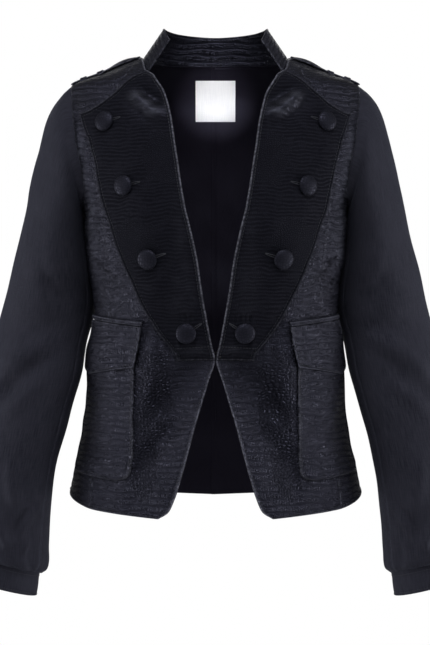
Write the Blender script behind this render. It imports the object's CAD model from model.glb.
import math

import bpy
import numpy as np
from mathutils import Matrix, Vector


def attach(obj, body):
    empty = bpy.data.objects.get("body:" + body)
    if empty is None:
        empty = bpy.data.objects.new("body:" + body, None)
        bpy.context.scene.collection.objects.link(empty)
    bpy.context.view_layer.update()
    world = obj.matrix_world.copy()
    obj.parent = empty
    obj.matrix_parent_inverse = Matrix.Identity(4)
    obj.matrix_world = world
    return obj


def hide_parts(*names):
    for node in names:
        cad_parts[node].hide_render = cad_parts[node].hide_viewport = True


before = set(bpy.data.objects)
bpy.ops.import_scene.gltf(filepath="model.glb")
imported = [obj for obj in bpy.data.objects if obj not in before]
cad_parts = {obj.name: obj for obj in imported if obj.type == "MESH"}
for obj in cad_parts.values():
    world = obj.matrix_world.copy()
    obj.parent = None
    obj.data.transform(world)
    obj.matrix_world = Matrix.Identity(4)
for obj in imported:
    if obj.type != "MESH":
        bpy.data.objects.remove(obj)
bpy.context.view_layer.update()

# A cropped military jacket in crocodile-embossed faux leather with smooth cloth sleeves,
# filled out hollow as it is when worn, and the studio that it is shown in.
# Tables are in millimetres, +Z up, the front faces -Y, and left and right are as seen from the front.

bl_info = {
    "name": "Cropped Jacket Maker",
    "version": (1, 0, 0),
    "blender": (4, 5, 0),
    "location": "3D View > Sidebar > Jacket",
    "description": "Cuts, sews and finishes a cropped faux leather jacket and sets its studio",
    "category": "Add Mesh",
}

MM = 0.001
SIDES = {"left": -1, "right": 1}

# The gaps between the pieces, as they are sewn.
SEAM_LAP = 0.2
LAYER_GAP = 0.4
OVERLAY_GAP = 0.9
POCKET_GAP = 0.3
FLAP_GAP = 0.8
LABEL_GAP = 3.0

# Where the side line of the body runs, how square its sections are, and what stands for the word side in a
# table, which marks an edge that lies on the side seam.
SIDE_Y = 5.0
SQUARENESS = 2.2
ON_SIDE_SEAM = math.nan


def columns(names, rows):
    """The columns of rows of numbers, by their names."""
    return dict(zip(names.split(), np.array(rows, float).T))


def table(text):
    """The columns of a table, by the names in its first line."""
    names, *rows = text.strip().splitlines()
    read = [[ON_SIDE_SEAM if word == "side" else float(word) for word in row.split()] for row in rows]
    return columns(names, read)


# Sections of the body from the neck down.
BODY = table("""
z half_width front back
3 91 50 60
-8 119 63 67
-20 148 75 75
-33 180 84 84
-50 188 92 91
-75 193 101 96
-110 192 111 99
-150 178 120 99
-190 165.5 125 96
-218 164 126 93
-250 161 123 87
-290 154.5 116 77
-325 152 109 71
-368 157 105 77
-400 159 105 84
-431 160.5 106 89
-462 164.5 108 93
-487 169.5 110 97
-510 176 112 99
-538 182.5 114 101
-566 188 115 102
""")
BUST = {"x": 98, "z": -200, "span_x": 48, "span_z": 58, "rise": 6}

# The front: its free edge, the seam between centre and side front, and the armhole.
FRONT = table("""
edge_x edge_z seam_x seam_z armhole_x armhole_z
91 3 100 -1 side -33
90 -2.6 102.5 -8 179.9 -37
87.5 -9 105 -15 179.8 -42
83.2 -21.4 112 -29 179 -52
73.6 -29.1 120 -42 177.6 -66
63.4 -45.1 130 -57 175.6 -83
56.5 -64.4 137 -75 172.6 -103
51 -91 142 -99 168.8 -124
46.3 -124 143 -129 164.8 -147
41.5 -156 142 -158 162.4 -168
36.2 -188 140 -189 side -190
28.9 -218 137 -218 side -217
21 -255 132 -254 side -252
16.1 -290 129 -288 side -286
10.2 -323.5 131 -320 side -317
4.2 -356 135 -352 side -348
0.3 -374 137 -369 side -364
9 -402 139 -397 side -391
24.6 -456 144 -450 side -441
39.3 -511 149 -504 side -492
48.3 -539 152 -532 side -516
56.5 -556 153.5 -548 side -530
69 -564 154 -555 side -537
""")

# The back: round the neck by degrees to the centre back, and down the armhole and side.
BACK = table("""
neck_angle centre_z armhole_x armhole_z
90 3 side -33
112 3 179.8 -39
135 2.5 178.4 -48
158 2 176 -62
180 2 173 -78
180 -32 170 -98
180 -75 166.6 -124
180 -118 164.4 -148
180 -156 163 -170
180 -190 side -190
180 -232 side -230
180 -275 side -270
180 -318 side -311
180 -362 side -354
180 -408 side -398
180 -455 side -444
180 -503 side -490
180 -551 side -537
""")
ARMHOLE_FOOT = -190

# The buttoned overlay on each front; its top bows down between its ends.
PLASTRON = table("""
inner_x inner_z outer_x outer_z bow
82.6 -22.5 166 -72 -14
73.4 -29.3 163 -81 -12
63.3 -45.1 158.5 -95 -9
56.4 -64.4 153.3 -110 -6
50.8 -91 147 -133 -3
46.1 -124 140.6 -161 0
41.3 -156 134.4 -188 0
36 -188 125.6 -214 0
28.7 -218 115.7 -244 0
20.8 -255 102 -277 0
15.9 -290 87.5 -309 0
10 -323.5 72 -336 0
4 -356 53 -361 0
1 -368 48 -368 0
0.4 -374 47.5 -375 0
""")

# Patch pocket, flap and welt: the outer end is given by its degrees round the body.
POCKET = table("""
inner_x inner_z outer_angle outer_z
96 -342 80 -335
97 -390 84 -384
98 -440 85 -432
99 -490 84 -480
101.5 -507 82 -496
108 -516.5 79 -505
121 -520 74 -511
""")
FLAP = table("""
inner_x inner_z outer_angle outer_z
87.5 -333.5 77 -324
89.2 -348 80 -342
91.6 -363 84 -361
94.2 -376.5 86 -379
96 -383.5 72 -392.5
""")
WELT = table("""
inner_x inner_z outer_angle outer_z
86.5 -326.6 77.5 -317.4
87 -330 77.5 -320.6
87.3 -333 77.5 -323.6
""")
WELT_LIFT = 1.2
WELT_GAP = 1.1
WELT_ROUND = 3.4

# The top edge of the stand collar, from its front end round to the centre back.
COLLAR_TOP = table("""
x y z
56 -36 20
60.5 -21 30
62.6 -8 36.5
63.8 9 40
59.5 27 39.6
48 43.5 38.3
27.5 54.5 36.9
0 60 36
""")
COLLAR_RISE = -2.6
COLLAR_LENGTH = 290.0
LEATHER_MIDDLE = 0.8

# Rings of the sleeve and of the cuff, from the top down.
SLEEVE = table("""
outer_x outer_z inner_x inner_z front_y back_y
191.5 -42 165 -193 -55 68
202.5 -57 163.8 -197 -58 74
212 -80 163 -203 -57 77
222 -116 162.2 -212 -53 79
232 -160 161 -225 -48 79
242.5 -208 158.4 -243 -43 78
254 -254 154.4 -269 -37 76
265 -297 151.4 -299 -29 72
273 -332 155.4 -327 -25 66
280 -366 161 -353 -30 59
287 -404 168 -393 -38 50
295 -456 181.5 -441 -49 39
301.5 -508 195 -494 -59 28
307 -556 202 -543 -66 18
310 -590 206.5 -606 -71 10
310.5 -604 208 -629 -72 6
306.5 -611 213.5 -636.4 -68 2
""")
CUFF = table("""
outer_x outer_z inner_x inner_z front_y back_y
303.7 -609.8 215.2 -633.8 -65.6 -0.4
306 -614.6 217.2 -639 -66 -1.2
309.6 -628 218.6 -652 -68 -1
312 -640 220.4 -664 -69 -1.6
""")
SLEEVE_GIRTH = 370.0
CUFF_GIRTH = 250.0
# The seams of the sleeve by degrees round it, and how far its armhole edge laps into the body:
# at the shoulder, and more towards the underarm.
FRONT_SLEEVE_SEAM = 149
BACK_SLEEVE_SEAM = 240
SLEEVE_SEAM_TURN = -0.1
ARMHOLE_GAP = -0.7
ARMHOLE_LAP = 1.6
UNDERARM_SHARE = 0.7

STRAP = {
    "inner_x": 93.5, "outer_x": 178.5, "half_width": 17, "lift": 0.4, "wall": 1.8, "arch": 4.6, "droop": 0.9,
}
ARCH_END_X = 136
CARRIER = {"half_width": 4, "reach": 22.5, "wall": 1.2, "bend_from": 17.8, "bend_to": 20.6, "seat": -0.2}
CARRIER_PLACES = (143.4, 164.2)

# Covered buttons, and the slant and reach of the buttonhole that shows beside each.
BUTTONS = table("""
x z lift slant reach
132.9 -85 2.9 14 19
108.7 -164 2.7 12 19.5
80.1 -252 2.6 17 22
34.8 -341 3.1 33 22
""")

LABEL = {"half_width": 26, "top_z": -14, "bottom_z": -67}
HOOK = {"z": -366, "wire": 0.6, "root": 7, "tip": 2.4, "eye_tip": 0.8, "width": 2.2, "lap": 2}

# Folds as straight or bowed lines seen from the front: ridges stand up, and troughs have a negative height.
BODY_FOLDS = table("""
x z to_x to_z bow width height
102 -51 60 -82 3 7.5 6.2
94 -40 60 -64 2 6 -4.4
96 -72 60 -94 3 5.5 -2.4
108 -50 84 -58 2 5 1.2
92 -60 86 -76 0 2.6 -0.9
78 -62 73 -78 0 2.6 -0.8
152 -240 118 -270 3 5 2.8
148 -254 118 -284 2 5 -2.8
90 -330 98 -500 -5 11 6.4
76 -336 82 -430 -3 6.5 3.6
2 -366 86 -456 5 21 -13.5
40 -424 90 -474 3 7 3.6
32 -440 94 -500 4 9.5 -7
6 -400 44 -540 0 14 2.6
60 -384 70 -420 0 8 -1.6
20 -412 58 -545 -6 17 3.2
88 -470 100 -560 0 13 -2.6
118 -350 128 -500 4 14 2.6
150 -398 158 -520 0 9 -2.2
60 -290 98 -262 3 9 1.2
40 -215 100 -232 2 12 0.9
41 -318 40 -327 0 1.7 -1.3
35 -317 35 -327 0 1.7 -1.6
29 -319 29 -328 0 1.7 -1.2
23 -321 23 -330 0 1.7 -1.3
150 -104 144 -186 2 5 -2.4
62 -352 60 -368 0 2.6 1.8
44 -350 43 -366 0 2.4 1.7
20 -352 19 -368 0 2.2 1.8
""")
# Short folds stacked where the waist is drawn in at the side.
WAIST_FOLDS = {
    "first_z": -252, "step": -8.8, "count": 7, "from_x": 131, "to_x": 153, "slant": 2,
    "width": 2.7, "height": -3.0,
}
BACK_FOLDS = table("""
x z to_x to_z bow width height
150 -150 112 -235 6 12 2.4
146 -176 120 -250 5 7 -2.2
148 -270 80 -305 4 7 -2.0
150 -292 70 -320 3 6 1.8
148 -312 60 -338 -2 7 -2.0
140 -345 90 -372 0 8 1.6
60 -390 76 -545 -4 18 3.0
118 -400 140 -540 4 16 -2.6
28 -120 20 -260 3 14 -1.2
90 -30 150 -60 4 9 1.2
""")
SLEEVE_FOLDS = table("""
x z to_x to_z bow width height
270 -398 196 -348 -5 15 6.0
268 -424 208 -372 -4 10 -5.6
262 -444 214 -404 -3 9 3.2
206 -236 176 -286 4 9 2.0
212 -262 178 -312 4 8 -2.2
252 -300 200 -320 -3 12 1.8
217 -552 238 -589 2 4.2 4.2
224 -552 246 -588 2 4.2 -3.2
238 -589 260 -604 2 3.8 3.6
227 -593 237 -612 0 3.2 3.0
268 -572 250 -600 2 4.6 3.4
226 -596 225 -642 0 4.5 -2.6
252 -500 240 -560 3 7 3.8
262 -560 256 -604 1 4 2.4
282 -500 276 -590 -3 10 2.0
206 -470 214 -560 0 8 1.6
290 -560 284 -606 0 6 -1.6
214 -110 224 -190 4 13 1.6
""")
SLEEVE_BACK_FOLDS = table("""
x z to_x to_z bow width height
262 -330 180 -300 6 10 3.4
268 -356 176 -322 6 8 -3.6
270 -384 182 -344 4 9 3.0
210 -150 186 -240 5 14 2.4
236 -200 206 -270 5 12 -2.2
230 -560 246 -602 2 5 2.4
262 -540 258 -600 0 7 -2.2
284 -520 280 -602 0 8 2.0
""")

# Where the emboss turns from wide plates to small round scales, as soft ovals.
SMALL_SCALES = table("""
x z span_x span_z share
76 -420 26 70 1
86 -500 22 50 1
96 -232 30 34 1
60 -130 30 36 1
118 -300 12 20 0.3
""")

# Where the overlay's coating is polished by wear.
POLISHED = table("""
x z span_x span_z share
82 -66 24 15 1
96 -56 12 9 1
70 -76 12 9 1
""")

# Where it is scuffed pale: beside the armhole and on the crumpled fold by the neck.
SCUFFED = table("""
x z span_x span_z share
166 -118 4 30 1
161 -156 4.5 34 1
156 -196 7 30 1
152 -236 8 20 0.6
95 -55 7 5 1
85 -65 8.5 6 1
73 -75 9 4.5 1
24 -362 24 6 0.25
42 -225 9 50 0.12
36 -285 14 45 0.14
""")


# Small sums that the shapes share.
def hermite(share, span):
    """Weights of both ends of a span and of the slopes there, for places part of the way along it."""
    squared, cubed = share**2, share**3
    return (
        2 * cubed - 3 * squared + 1,
        (cubed - 2 * squared + share) * span,
        3 * squared - 2 * cubed,
        (cubed - squared) * span,
    )


def curve_at(knots, values, places, level=True):
    """Values on a smooth curve through a table's rows; a level one never swings past its rows."""
    values = np.asarray(values, float)
    tail = (1,) * (values.ndim - 1)
    gaps = np.diff(knots)
    rises = np.diff(values, axis=0) / gaps.reshape(-1, *tail)
    slopes = np.empty_like(values)
    slopes[0] = rises[0]
    slopes[-1] = rises[-1]
    before, after = rises[:-1], rises[1:]
    if level:
        same = before * after > 0
        slopes[1:-1] = np.where(same, 2 * before * after / np.where(same, before + after, 1), 0)
    else:
        slopes[1:-1] = (values[2:] - values[:-2]) / (knots[2:] - knots[:-2]).reshape(-1, *tail)
    places = np.clip(places, knots[0], knots[-1])
    row = np.clip(np.searchsorted(knots, places, side="right") - 1, 0, len(knots) - 2)
    share = (places - knots[row]) / gaps[row]
    weights = hermite(share, gaps[row])
    parts = (values[row], slopes[row], values[row + 1], slopes[row + 1])
    return sum(weight.reshape(weight.shape + tail) * part for weight, part in zip(weights, parts))


def mix(a, b, share):
    return a + (b - a) * share


def smooth_step(value, low, high):
    share = np.clip((value - low) / (high - low), 0, 1)
    return share * share * (3 - 2 * share)


def unit(vectors):
    return vectors / np.maximum(np.linalg.norm(vectors, axis=-1, keepdims=True), 1e-9)


def run_lengths(points):
    """How far each point of a line lies from its start."""
    return np.concatenate([[0], np.cumsum(np.linalg.norm(np.diff(points, axis=0), axis=-1))])


def path_lengths(points, axis):
    """How far each point lies from the start of its row or column."""
    steps = np.linalg.norm(np.diff(points, axis=axis), axis=-1)
    lengths = np.zeros(points.shape[:2])
    if axis == 0:
        lengths[1:] = np.cumsum(steps, axis=0)
    else:
        lengths[:, 1:] = np.cumsum(steps, axis=1)
    return lengths


# The body's own form.
def body_section(z):
    """Half width, front depth and back depth of the body at any height."""
    return [curve_at(-BODY["z"], BODY[name], -np.asarray(z, float), level=False)
            for name in ("half_width", "front", "back")]


def body_point(angle, z):
    """A point of the body, by its angle round from the centre front and its height."""
    half_width, front, back = body_section(z)
    across, along = np.sin(angle), np.cos(angle)
    power = 2 / SQUARENESS
    x = half_width * np.sign(across) * np.abs(across) ** power
    depth = np.where(along > 0, front, back)
    y = SIDE_Y - depth * np.sign(along) * np.abs(along) ** power
    away = ((np.abs(x) - BUST["x"]) / BUST["span_x"]) ** 2 + ((z - BUST["z"]) / BUST["span_z"]) ** 2
    y = y - np.where(along > 0, BUST["rise"] * np.exp(-away) * along, 0)
    return np.stack([x, y, np.broadcast_to(z, x.shape)], -1)


def body_normal(angle, z):
    turn, drop = 0.01, 1.0
    round_body = body_point(angle + turn, z) - body_point(angle - turn, z)
    down = body_point(angle, z - drop) - body_point(angle, z + drop)
    return unit(-np.cross(round_body, down))


def angle_across(x, z, on_back=False):
    share = np.clip(x / body_section(z)[0], 0, 1)
    angle = np.arcsin(share ** (SQUARENESS / 2))
    return np.pi - angle if on_back else angle


def angle_at_side(z, gap):
    depth = body_section(z)[2 if gap > 0 else 1]
    turn = np.arcsin((abs(gap) / depth) ** (SQUARENESS / 2))
    return np.pi / 2 + np.sign(gap) * turn


UNDER_SHOULDER = -150.0
HALVINGS = 40


def shoulder_height(x, y):
    """The height of the shoulder over places seen from above, found by halving."""
    high = np.full(np.shape(x), BODY["z"][0])
    low = np.full(np.shape(x), UNDER_SHOULDER)
    for _ in range(HALVINGS):
        middle = (high + low) / 2
        half_width, front, back = body_section(middle)
        depth = np.where(y < SIDE_Y, front, back)
        spread = (x / half_width) ** SQUARENESS + (np.abs(y - SIDE_Y) / depth) ** SQUARENESS
        high = np.where(spread > 1, middle, high)
        low = np.where(spread > 1, low, middle)
    return low


# Lengths along the body, so that the emboss runs level and at one size over all its pieces.
MAP_TOP = 3
MAP_BOTTOM = -570
MAP_WAIST = -330
MAP_ANGLES = np.linspace(0, np.pi, 181)
MAP_HEIGHTS = np.linspace(MAP_TOP, MAP_BOTTOM, 192)


def body_map():
    """How far each place lies round from the centre front and down from the neck."""
    angles, heights = np.meshgrid(MAP_ANGLES, MAP_HEIGHTS)
    points = body_point(angles, heights)
    down = path_lengths(points, 0)
    waist = np.abs(MAP_HEIGHTS - MAP_WAIST).argmin()
    return path_lengths(points, 1), down - down[waist]


BODY_MAP = body_map()


def map_value(grid, angle, z):
    at_angle = np.clip(angle / np.pi, 0, 1.2) * (len(MAP_ANGLES) - 1)
    at_height = np.clip((MAP_TOP - z) / (MAP_TOP - MAP_BOTTOM), 0, 1) * (len(MAP_HEIGHTS) - 1)
    column = np.minimum(at_angle.astype(int), len(MAP_ANGLES) - 2)
    row = np.minimum(at_height.astype(int), len(MAP_HEIGHTS) - 2)
    share = at_angle - column
    fall = at_height - row
    upper = mix(grid[row, column], grid[row, column + 1], share)
    lower = mix(grid[row + 1, column], grid[row + 1, column + 1], share)
    return mix(upper, lower, fall)


def on_line(line, share):
    """Places along one edge of a piece, whose rows are angles and heights."""
    knots = np.arange(len(line[0]), dtype=float)
    places = np.asarray(share) * knots[-1]
    return [curve_at(knots, column, places) for column in line]


def body_piece(inner, outer, bow=None):
    """A piece that lies on the body between two edges."""
    def surface(across, down):
        from_angle, from_z = on_line(inner, down)
        to_angle, to_z = on_line(outer, down)
        angle = mix(from_angle, to_angle, across)
        z = mix(from_z, to_z, across)
        if bow is not None:
            knots = np.arange(len(bow), dtype=float)
            z = z + curve_at(knots, bow, down * knots[-1]) * 4 * across * (1 - across)
        points = body_point(angle, z)
        inside = points * (0.5, 0, 1) + (0, SIDE_Y, 0)
        spread = np.stack([map_value(BODY_MAP[0], angle, z), -map_value(BODY_MAP[1], angle, z)], -1)
        return points, inside, spread
    return surface


HALF = -SEAM_LAP / 2


def armhole_line(rows, on_back):
    angles = [
        angle_at_side(z, HALF if on_back else -HALF) if math.isnan(x) else angle_across(x, z, on_back)
        for x, z in zip(rows["armhole_x"], rows["armhole_z"])
    ]
    return np.array(angles), rows["armhole_z"]


def front_line(name, shift=0.0):
    x, z = FRONT[name + "_x"] + shift, FRONT[name + "_z"].copy()
    angles = angle_across(x, z)
    angles[0] = angle_at_side(z[0], -HALF)
    z[0] -= shift / 2
    return angles, z


def back_centre(drop=0.0, past=0.0):
    """The centre back edge; a piece may reach past the middle."""
    z = BACK["centre_z"]
    centre = angle_across(HALF, z, True)
    neck = np.maximum(np.radians(BACK["neck_angle"]), angle_at_side(z, HALF))
    beyond = 2 * np.pi - angle_across(np.full(z.shape, max(past, 0.01)), z, True)
    at_middle = BACK["neck_angle"] >= 180
    return np.where(at_middle & (past > 0), beyond, np.minimum(neck, centre)), z - drop


def by_angle(rows):
    inner = angle_across(rows["inner_x"], rows["inner_z"]), rows["inner_z"]
    return body_piece(inner, (np.radians(rows["outer_angle"]), rows["outer_z"]))


def plastron_surface():
    inner, outer = ((angle_across(PLASTRON[edge + "_x"], PLASTRON[edge + "_z"]), PLASTRON[edge + "_z"])
                    for edge in ("inner", "outer"))
    return body_piece(inner, outer, PLASTRON["bow"])


# The sleeve's own form.
def armhole_edge(turn):
    """The armhole edge, by degrees round from the shoulder by the front."""
    found = np.empty(turn.shape + (3,))
    for rows, on_back in ((FRONT, False), (BACK, True)):
        angles, heights = armhole_line(rows, on_back)
        count = int((rows["armhole_z"] >= ARMHOLE_FOOT).sum())
        knots = np.arange(count, dtype=float)
        places = np.linspace(0, count - 1, 400)
        angle = curve_at(knots, angles[:count], places)
        z = curve_at(knots, heights[:count], places)
        points = body_point(angle, z)
        lengths = run_lengths(points)
        share = (360 - turn if on_back else turn) / 180
        here = turn > 180 if on_back else turn <= 180
        for axis in range(3):
            values = np.interp(np.clip(share, 0, 1) * lengths[-1], lengths, points[:, axis])
            found[..., axis] = np.where(here, values, found[..., axis])
    return found


def ring_points(rows, turn):
    """Points and middles of every ring at each turn, the rings along the first axis."""
    spread = (len(rows["outer_x"]),) + (1,) * turn.ndim
    columns = {name: values.reshape(spread) for name, values in rows.items()}
    across, ahead = np.cos(np.radians(turn)), np.sin(np.radians(turn))
    middle_x = (columns["outer_x"] + columns["inner_x"]) / 2
    middle_z = (columns["outer_z"] + columns["inner_z"]) / 2
    middle_y = (columns["back_y"] + columns["front_y"]) / 2
    x = middle_x + (columns["outer_x"] - columns["inner_x"]) / 2 * across
    y = middle_y - (columns["back_y"] - columns["front_y"]) / 2 * ahead
    z = middle_z + (columns["outer_z"] - columns["inner_z"]) / 2 * across
    middles = np.broadcast_arrays(middle_x, middle_y, middle_z, x)[:3]
    return np.stack([x, y, z], -1), np.stack(middles, -1)


def down_the_rings(points, middles, down):
    """A smooth surface through rings, and how far down it each place lies."""
    steps = np.linalg.norm(np.diff(points, axis=0), axis=-1).mean(axis=tuple(range(1, down.ndim + 1)))
    knots = np.concatenate([[0], np.cumsum(steps)])
    places = down * knots[-1]
    row = np.clip(np.searchsorted(knots, places, side="right") - 1, 0, len(knots) - 2)
    share = (places - knots[row]) / (knots[row + 1] - knots[row])
    last = len(knots) - 1
    grid = np.indices(down.shape)

    def pick(values, at):
        return values[(np.clip(at, 0, last), *grid)]

    def slope(values, at):
        before, after = np.clip(at - 1, 0, last), np.clip(at + 1, 0, last)
        return (pick(values, after) - pick(values, before)) / (knots[after] - knots[before])[..., None]

    weights = hermite(share[..., None], (knots[row + 1] - knots[row])[..., None])
    found = []
    for values in (points, middles):
        parts = (pick(values, row), slope(values, row), pick(values, row + 1), slope(values, row + 1))
        found.append(sum(weight * part for weight, part in zip(weights, parts)))
    return *found, places


def sleeve_surface(from_turn, to_turn):
    def surface(across, down):
        turn = mix(from_turn, to_turn, across)
        points, middles = ring_points(SLEEVE, turn)
        edge = armhole_edge(turn % 360)
        below = np.clip(UNDERARM_SHARE - UNDERARM_SHARE * np.cos(np.radians(turn)), 0, 1)
        edge[..., 0] += ARMHOLE_GAP - ARMHOLE_LAP * below
        points = np.concatenate([edge[None], points])
        middles = np.concatenate([middles[:1], middles])
        spots, inside, places = down_the_rings(points, middles, down)
        around = turn / 360 * SLEEVE_GIRTH
        return spots, inside, np.stack([around, -places], -1)
    return surface


def cuff_surface(across, down):
    turn = across * 360
    points, middles = ring_points(CUFF, turn)
    spots, inside, places = down_the_rings(points, middles, down)
    return spots, inside, np.stack([across * CUFF_GIRTH, -places], -1)


# The collar, strap, carrier and label.
def neck_curve(points, share):
    """A curve through points from one front end of the collar round the back to the other."""
    other = points[-2::-1] * (-1, 1, 1)
    whole = np.concatenate([points, other])
    knots = np.arange(len(whole), dtype=float)
    return curve_at(knots, whole, share * knots[-1], level=False)


def collar_lines():
    edge_angle, edge_z = front_line("edge")
    centre_angle, centre_z = back_centre()
    angle = np.concatenate([edge_angle[3::-1], centre_angle[1:5]])
    z = np.concatenate([edge_z[3::-1], centre_z[1:5]])
    base = body_point(angle, z) - body_normal(angle, z) * LEATHER_MIDDLE
    base[-1, 0] = 0
    base[:, 2] += COLLAR_RISE
    return base, np.stack([COLLAR_TOP["x"], COLLAR_TOP["y"], COLLAR_TOP["z"]], -1)


def collar_surface(across, up):
    base, top = collar_lines()
    low, high = neck_curve(base, across), neck_curve(top, across)
    points = mix(low, high, up[..., None])
    inside = points * (0.4, 0.4, 1)
    height = np.linalg.norm(high - low, axis=-1)
    return points, inside, np.stack([across * COLLAR_LENGTH, up * height], -1)


def strap_surface(across, along):
    x = mix(STRAP["inner_x"], STRAP["outer_x"], along)
    y = SIDE_Y + mix(-STRAP["half_width"], STRAP["half_width"], across)
    share = np.clip((x - STRAP["inner_x"]) / (ARCH_END_X - STRAP["inner_x"]), 0, 1)
    droop = 1 - STRAP["droop"] * (2 * across - 1) ** 2
    z = shoulder_height(x, y) + STRAP["arch"] * np.sin(np.pi * share) * droop
    points = np.stack([x, y, z], -1)
    return points, points - (0, 0, 10), np.stack([x, y], -1)


def carrier_surface(middle_x):
    def surface(across, along):
        x = middle_x + mix(-CARRIER["half_width"], CARRIER["half_width"], across)
        y = SIDE_Y + mix(-CARRIER["reach"], CARRIER["reach"], along)
        fall = smooth_step(np.abs(y - SIDE_Y), CARRIER["bend_from"], CARRIER["bend_to"])
        over_strap = STRAP["lift"] + STRAP["wall"] + LAYER_GAP * 1.5
        z = shoulder_height(x, y) + mix(over_strap, CARRIER["seat"], fall)
        points = np.stack([x, y, z], -1)
        return points, points - (0, 0, 10), np.stack([x, y], -1)
    return surface


def label_surface(across, down):
    x = mix(-LABEL["half_width"], LABEL["half_width"], across)
    z = mix(LABEL["top_z"], LABEL["bottom_z"], down)
    points = body_point(angle_across(np.abs(x), z, True), z)
    points[..., 0] = x
    return points, points * (0.5, 0, 1) + (0, SIDE_Y, 0), np.stack([x, z], -1)


# Folds, puckers and rolled edges. Folds fade where the cloth turns away, and towards their ends.
FACING = (0.02, 0.3)
FOLD_END = 0.3
FOLD_END_SHARE = 0.35
UNEVEN = 0.28


def fold_relief(points, normals, folds, facing, side):
    """How far the folds of a table lift the cloth; facing is -1 for the front and 1 for the back."""
    x, z = points[..., 0], points[..., 2]
    seen = smooth_step(facing * normals[..., 1], *FACING)
    lift = np.zeros(x.shape)
    for index, (from_x, from_z, to_x, to_z, bow, width, height) in enumerate(zip(*folds.values())):
        start = np.array([from_x, from_z])
        reach = np.array([to_x, to_z]) - start
        length = np.hypot(*reach)
        share = ((x - start[0]) * reach[0] + (z - start[1]) * reach[1]) / length**2
        held = np.clip(share, 0, 1)
        off = ((z - start[1]) * reach[0] - (x - start[0]) * reach[1]) / length
        off = off - bow * 4 * held * (1 - held)
        past = np.abs(share - held) * length
        spread = width * (0.75 + 0.5 * np.sin(np.pi * held))
        fade = smooth_step(held, 0, FOLD_END) * smooth_step(1 - held, 0, FOLD_END)
        uneven = 1 + UNEVEN * math.sin(2.4 * index + 1.7 * side)
        shape = np.exp(-(off**2 + past**2) / spread**2)
        lift += height * uneven * (FOLD_END_SHARE + (1 - FOLD_END_SHARE) * fade) * shape
    return lift * seen


def waist_folds():
    """The table of the short folds at the side of the waist."""
    rows = []
    waist = WAIST_FOLDS
    slant = waist["slant"]
    for step in range(waist["count"]):
        z = waist["first_z"] + waist["step"] * step
        from_x = waist["from_x"] + 2.5 * math.sin(1.9 * step)
        height = waist["height"] * (1 + 0.3 * math.cos(2.3 * step))
        rows.append((from_x, z + slant, waist["to_x"], z - slant, 1, waist["width"], height))
    return columns("x z to_x to_z bow width height", rows)


WAIST = waist_folds()


def ripple(a, b, size, seed):
    """Soft uneven waves about 1 high and size long."""
    total = np.zeros(np.shape(a))
    for wave in range(6):
        turn = 2.4 * wave + 0.7 * seed
        rate = 2 * math.pi / (size * (0.7 + 0.22 * wave))
        total += np.sin((a * math.cos(turn) + b * math.sin(turn)) * rate + 5.1 * wave + 1.3 * seed)
    return total / 2.6


# How high and how long the slow waves of each part of the jacket are.
WAVES = {"front": (0.75, 42), "back": (0.6, 60), "sleeve": (0.7, 70)}


def waves(part, a, b, seed):
    height, size = WAVES[part]
    return height * ripple(a, b, size, seed)


def back_relief(points, normals, side):
    lift = fold_relief(points, normals, BACK_FOLDS, 1, side)
    return lift + waves("back", points[..., 0], points[..., 2], 9 + side)


def body_relief(points, normals, side):
    """Folds of the whole body; the front's and the back's die away at the side seam."""
    lift = fold_relief(points, normals, BODY_FOLDS, -1, side)
    lift += fold_relief(points, normals, WAIST, -1, side)
    lift += waves("front", points[..., 0], points[..., 2], 3 + side)
    return lift + fold_relief(points, normals, BACK_FOLDS, 1, side)


def welt_relief(points, normals, side):
    """The body's folds, with the welt rounded over as a corded edge."""
    down = np.linspace(-1, 1, points.shape[0])[:, None]
    return body_relief(points, normals, side) + WELT_ROUND * (1 - down**2) ** 0.5 - WELT_ROUND / 2


# Gathers near the cuff: how its edge slopes, and the heights between which they grow.
CUFF_SLOPE = 0.29
CUFF_X = 210
GATHERS = {"height": 0.8, "size": 11, "grow": (-598, -624), "fade": (590, 600)}


def sleeve_relief(points, normals, side):
    """Folds of the sleeve, and small gathers where it is eased into the cuff."""
    x, y, z = np.moveaxis(points, -1, 0)
    lift = fold_relief(points, normals, SLEEVE_FOLDS, -1, side)
    lift += fold_relief(points, normals, SLEEVE_BACK_FOLDS, 1, side)
    lift += waves("sleeve", x + y, z, 5 + side)
    down = z + CUFF_SLOPE * (x - CUFF_X)
    near = smooth_step(down, *GATHERS["grow"]) * smooth_step(-down, *GATHERS["fade"])
    swing = ripple(x * 1.2 + y, y * 0.4, GATHERS["size"], 6 + side)
    return lift + GATHERS["height"] * swing * near


SINK_SPAN = 1.5
PUCKER_SPREAD = 2.2
GROOVE_DEPTH = 0.45
GROOVE_HALF_WIDTH = 0.75


def edge_relief(reach, edges):
    """Rolled edges, the grooves of topstitching and the dips of plain seams."""
    lift = np.zeros(reach["start"].shape)
    stitched = None
    for name, edge in edges.items():
        away = reach[name]
        if "stitch" in edge:
            scaled = away / edge["stitch"]
            stitched = scaled if stitched is None else np.minimum(stitched, scaled)
        if "dip" in edge:
            lift -= edge["dip"] * np.exp(-((away / edge["span"]) ** 2))
            puckers = ripple(reach["along_" + name], away, edge.get("pucker_size", 9), 4)
            fade = np.exp(-((away / (PUCKER_SPREAD * edge["span"])) ** 2))
            lift += edge.get("pucker", 0) * puckers * fade
        if "sink" in edge:
            lift -= edge["sink"] * np.exp(-((away / SINK_SPAN) ** 2))
    if stitched is not None:
        roll = max(edge.get("roll", 0) for edge in edges.values())
        size = max(edge.get("stitch", 0) for edge in edges.values())
        lift += roll * np.where(stitched < 1, np.sin(np.pi * np.clip(stitched, 0, 1) ** 0.75) ** 0.8, 0)
        lift -= GROOVE_DEPTH * np.exp(-(((stitched - 1) * size / GROOVE_HALF_WIDTH) ** 2))
    return lift


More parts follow.
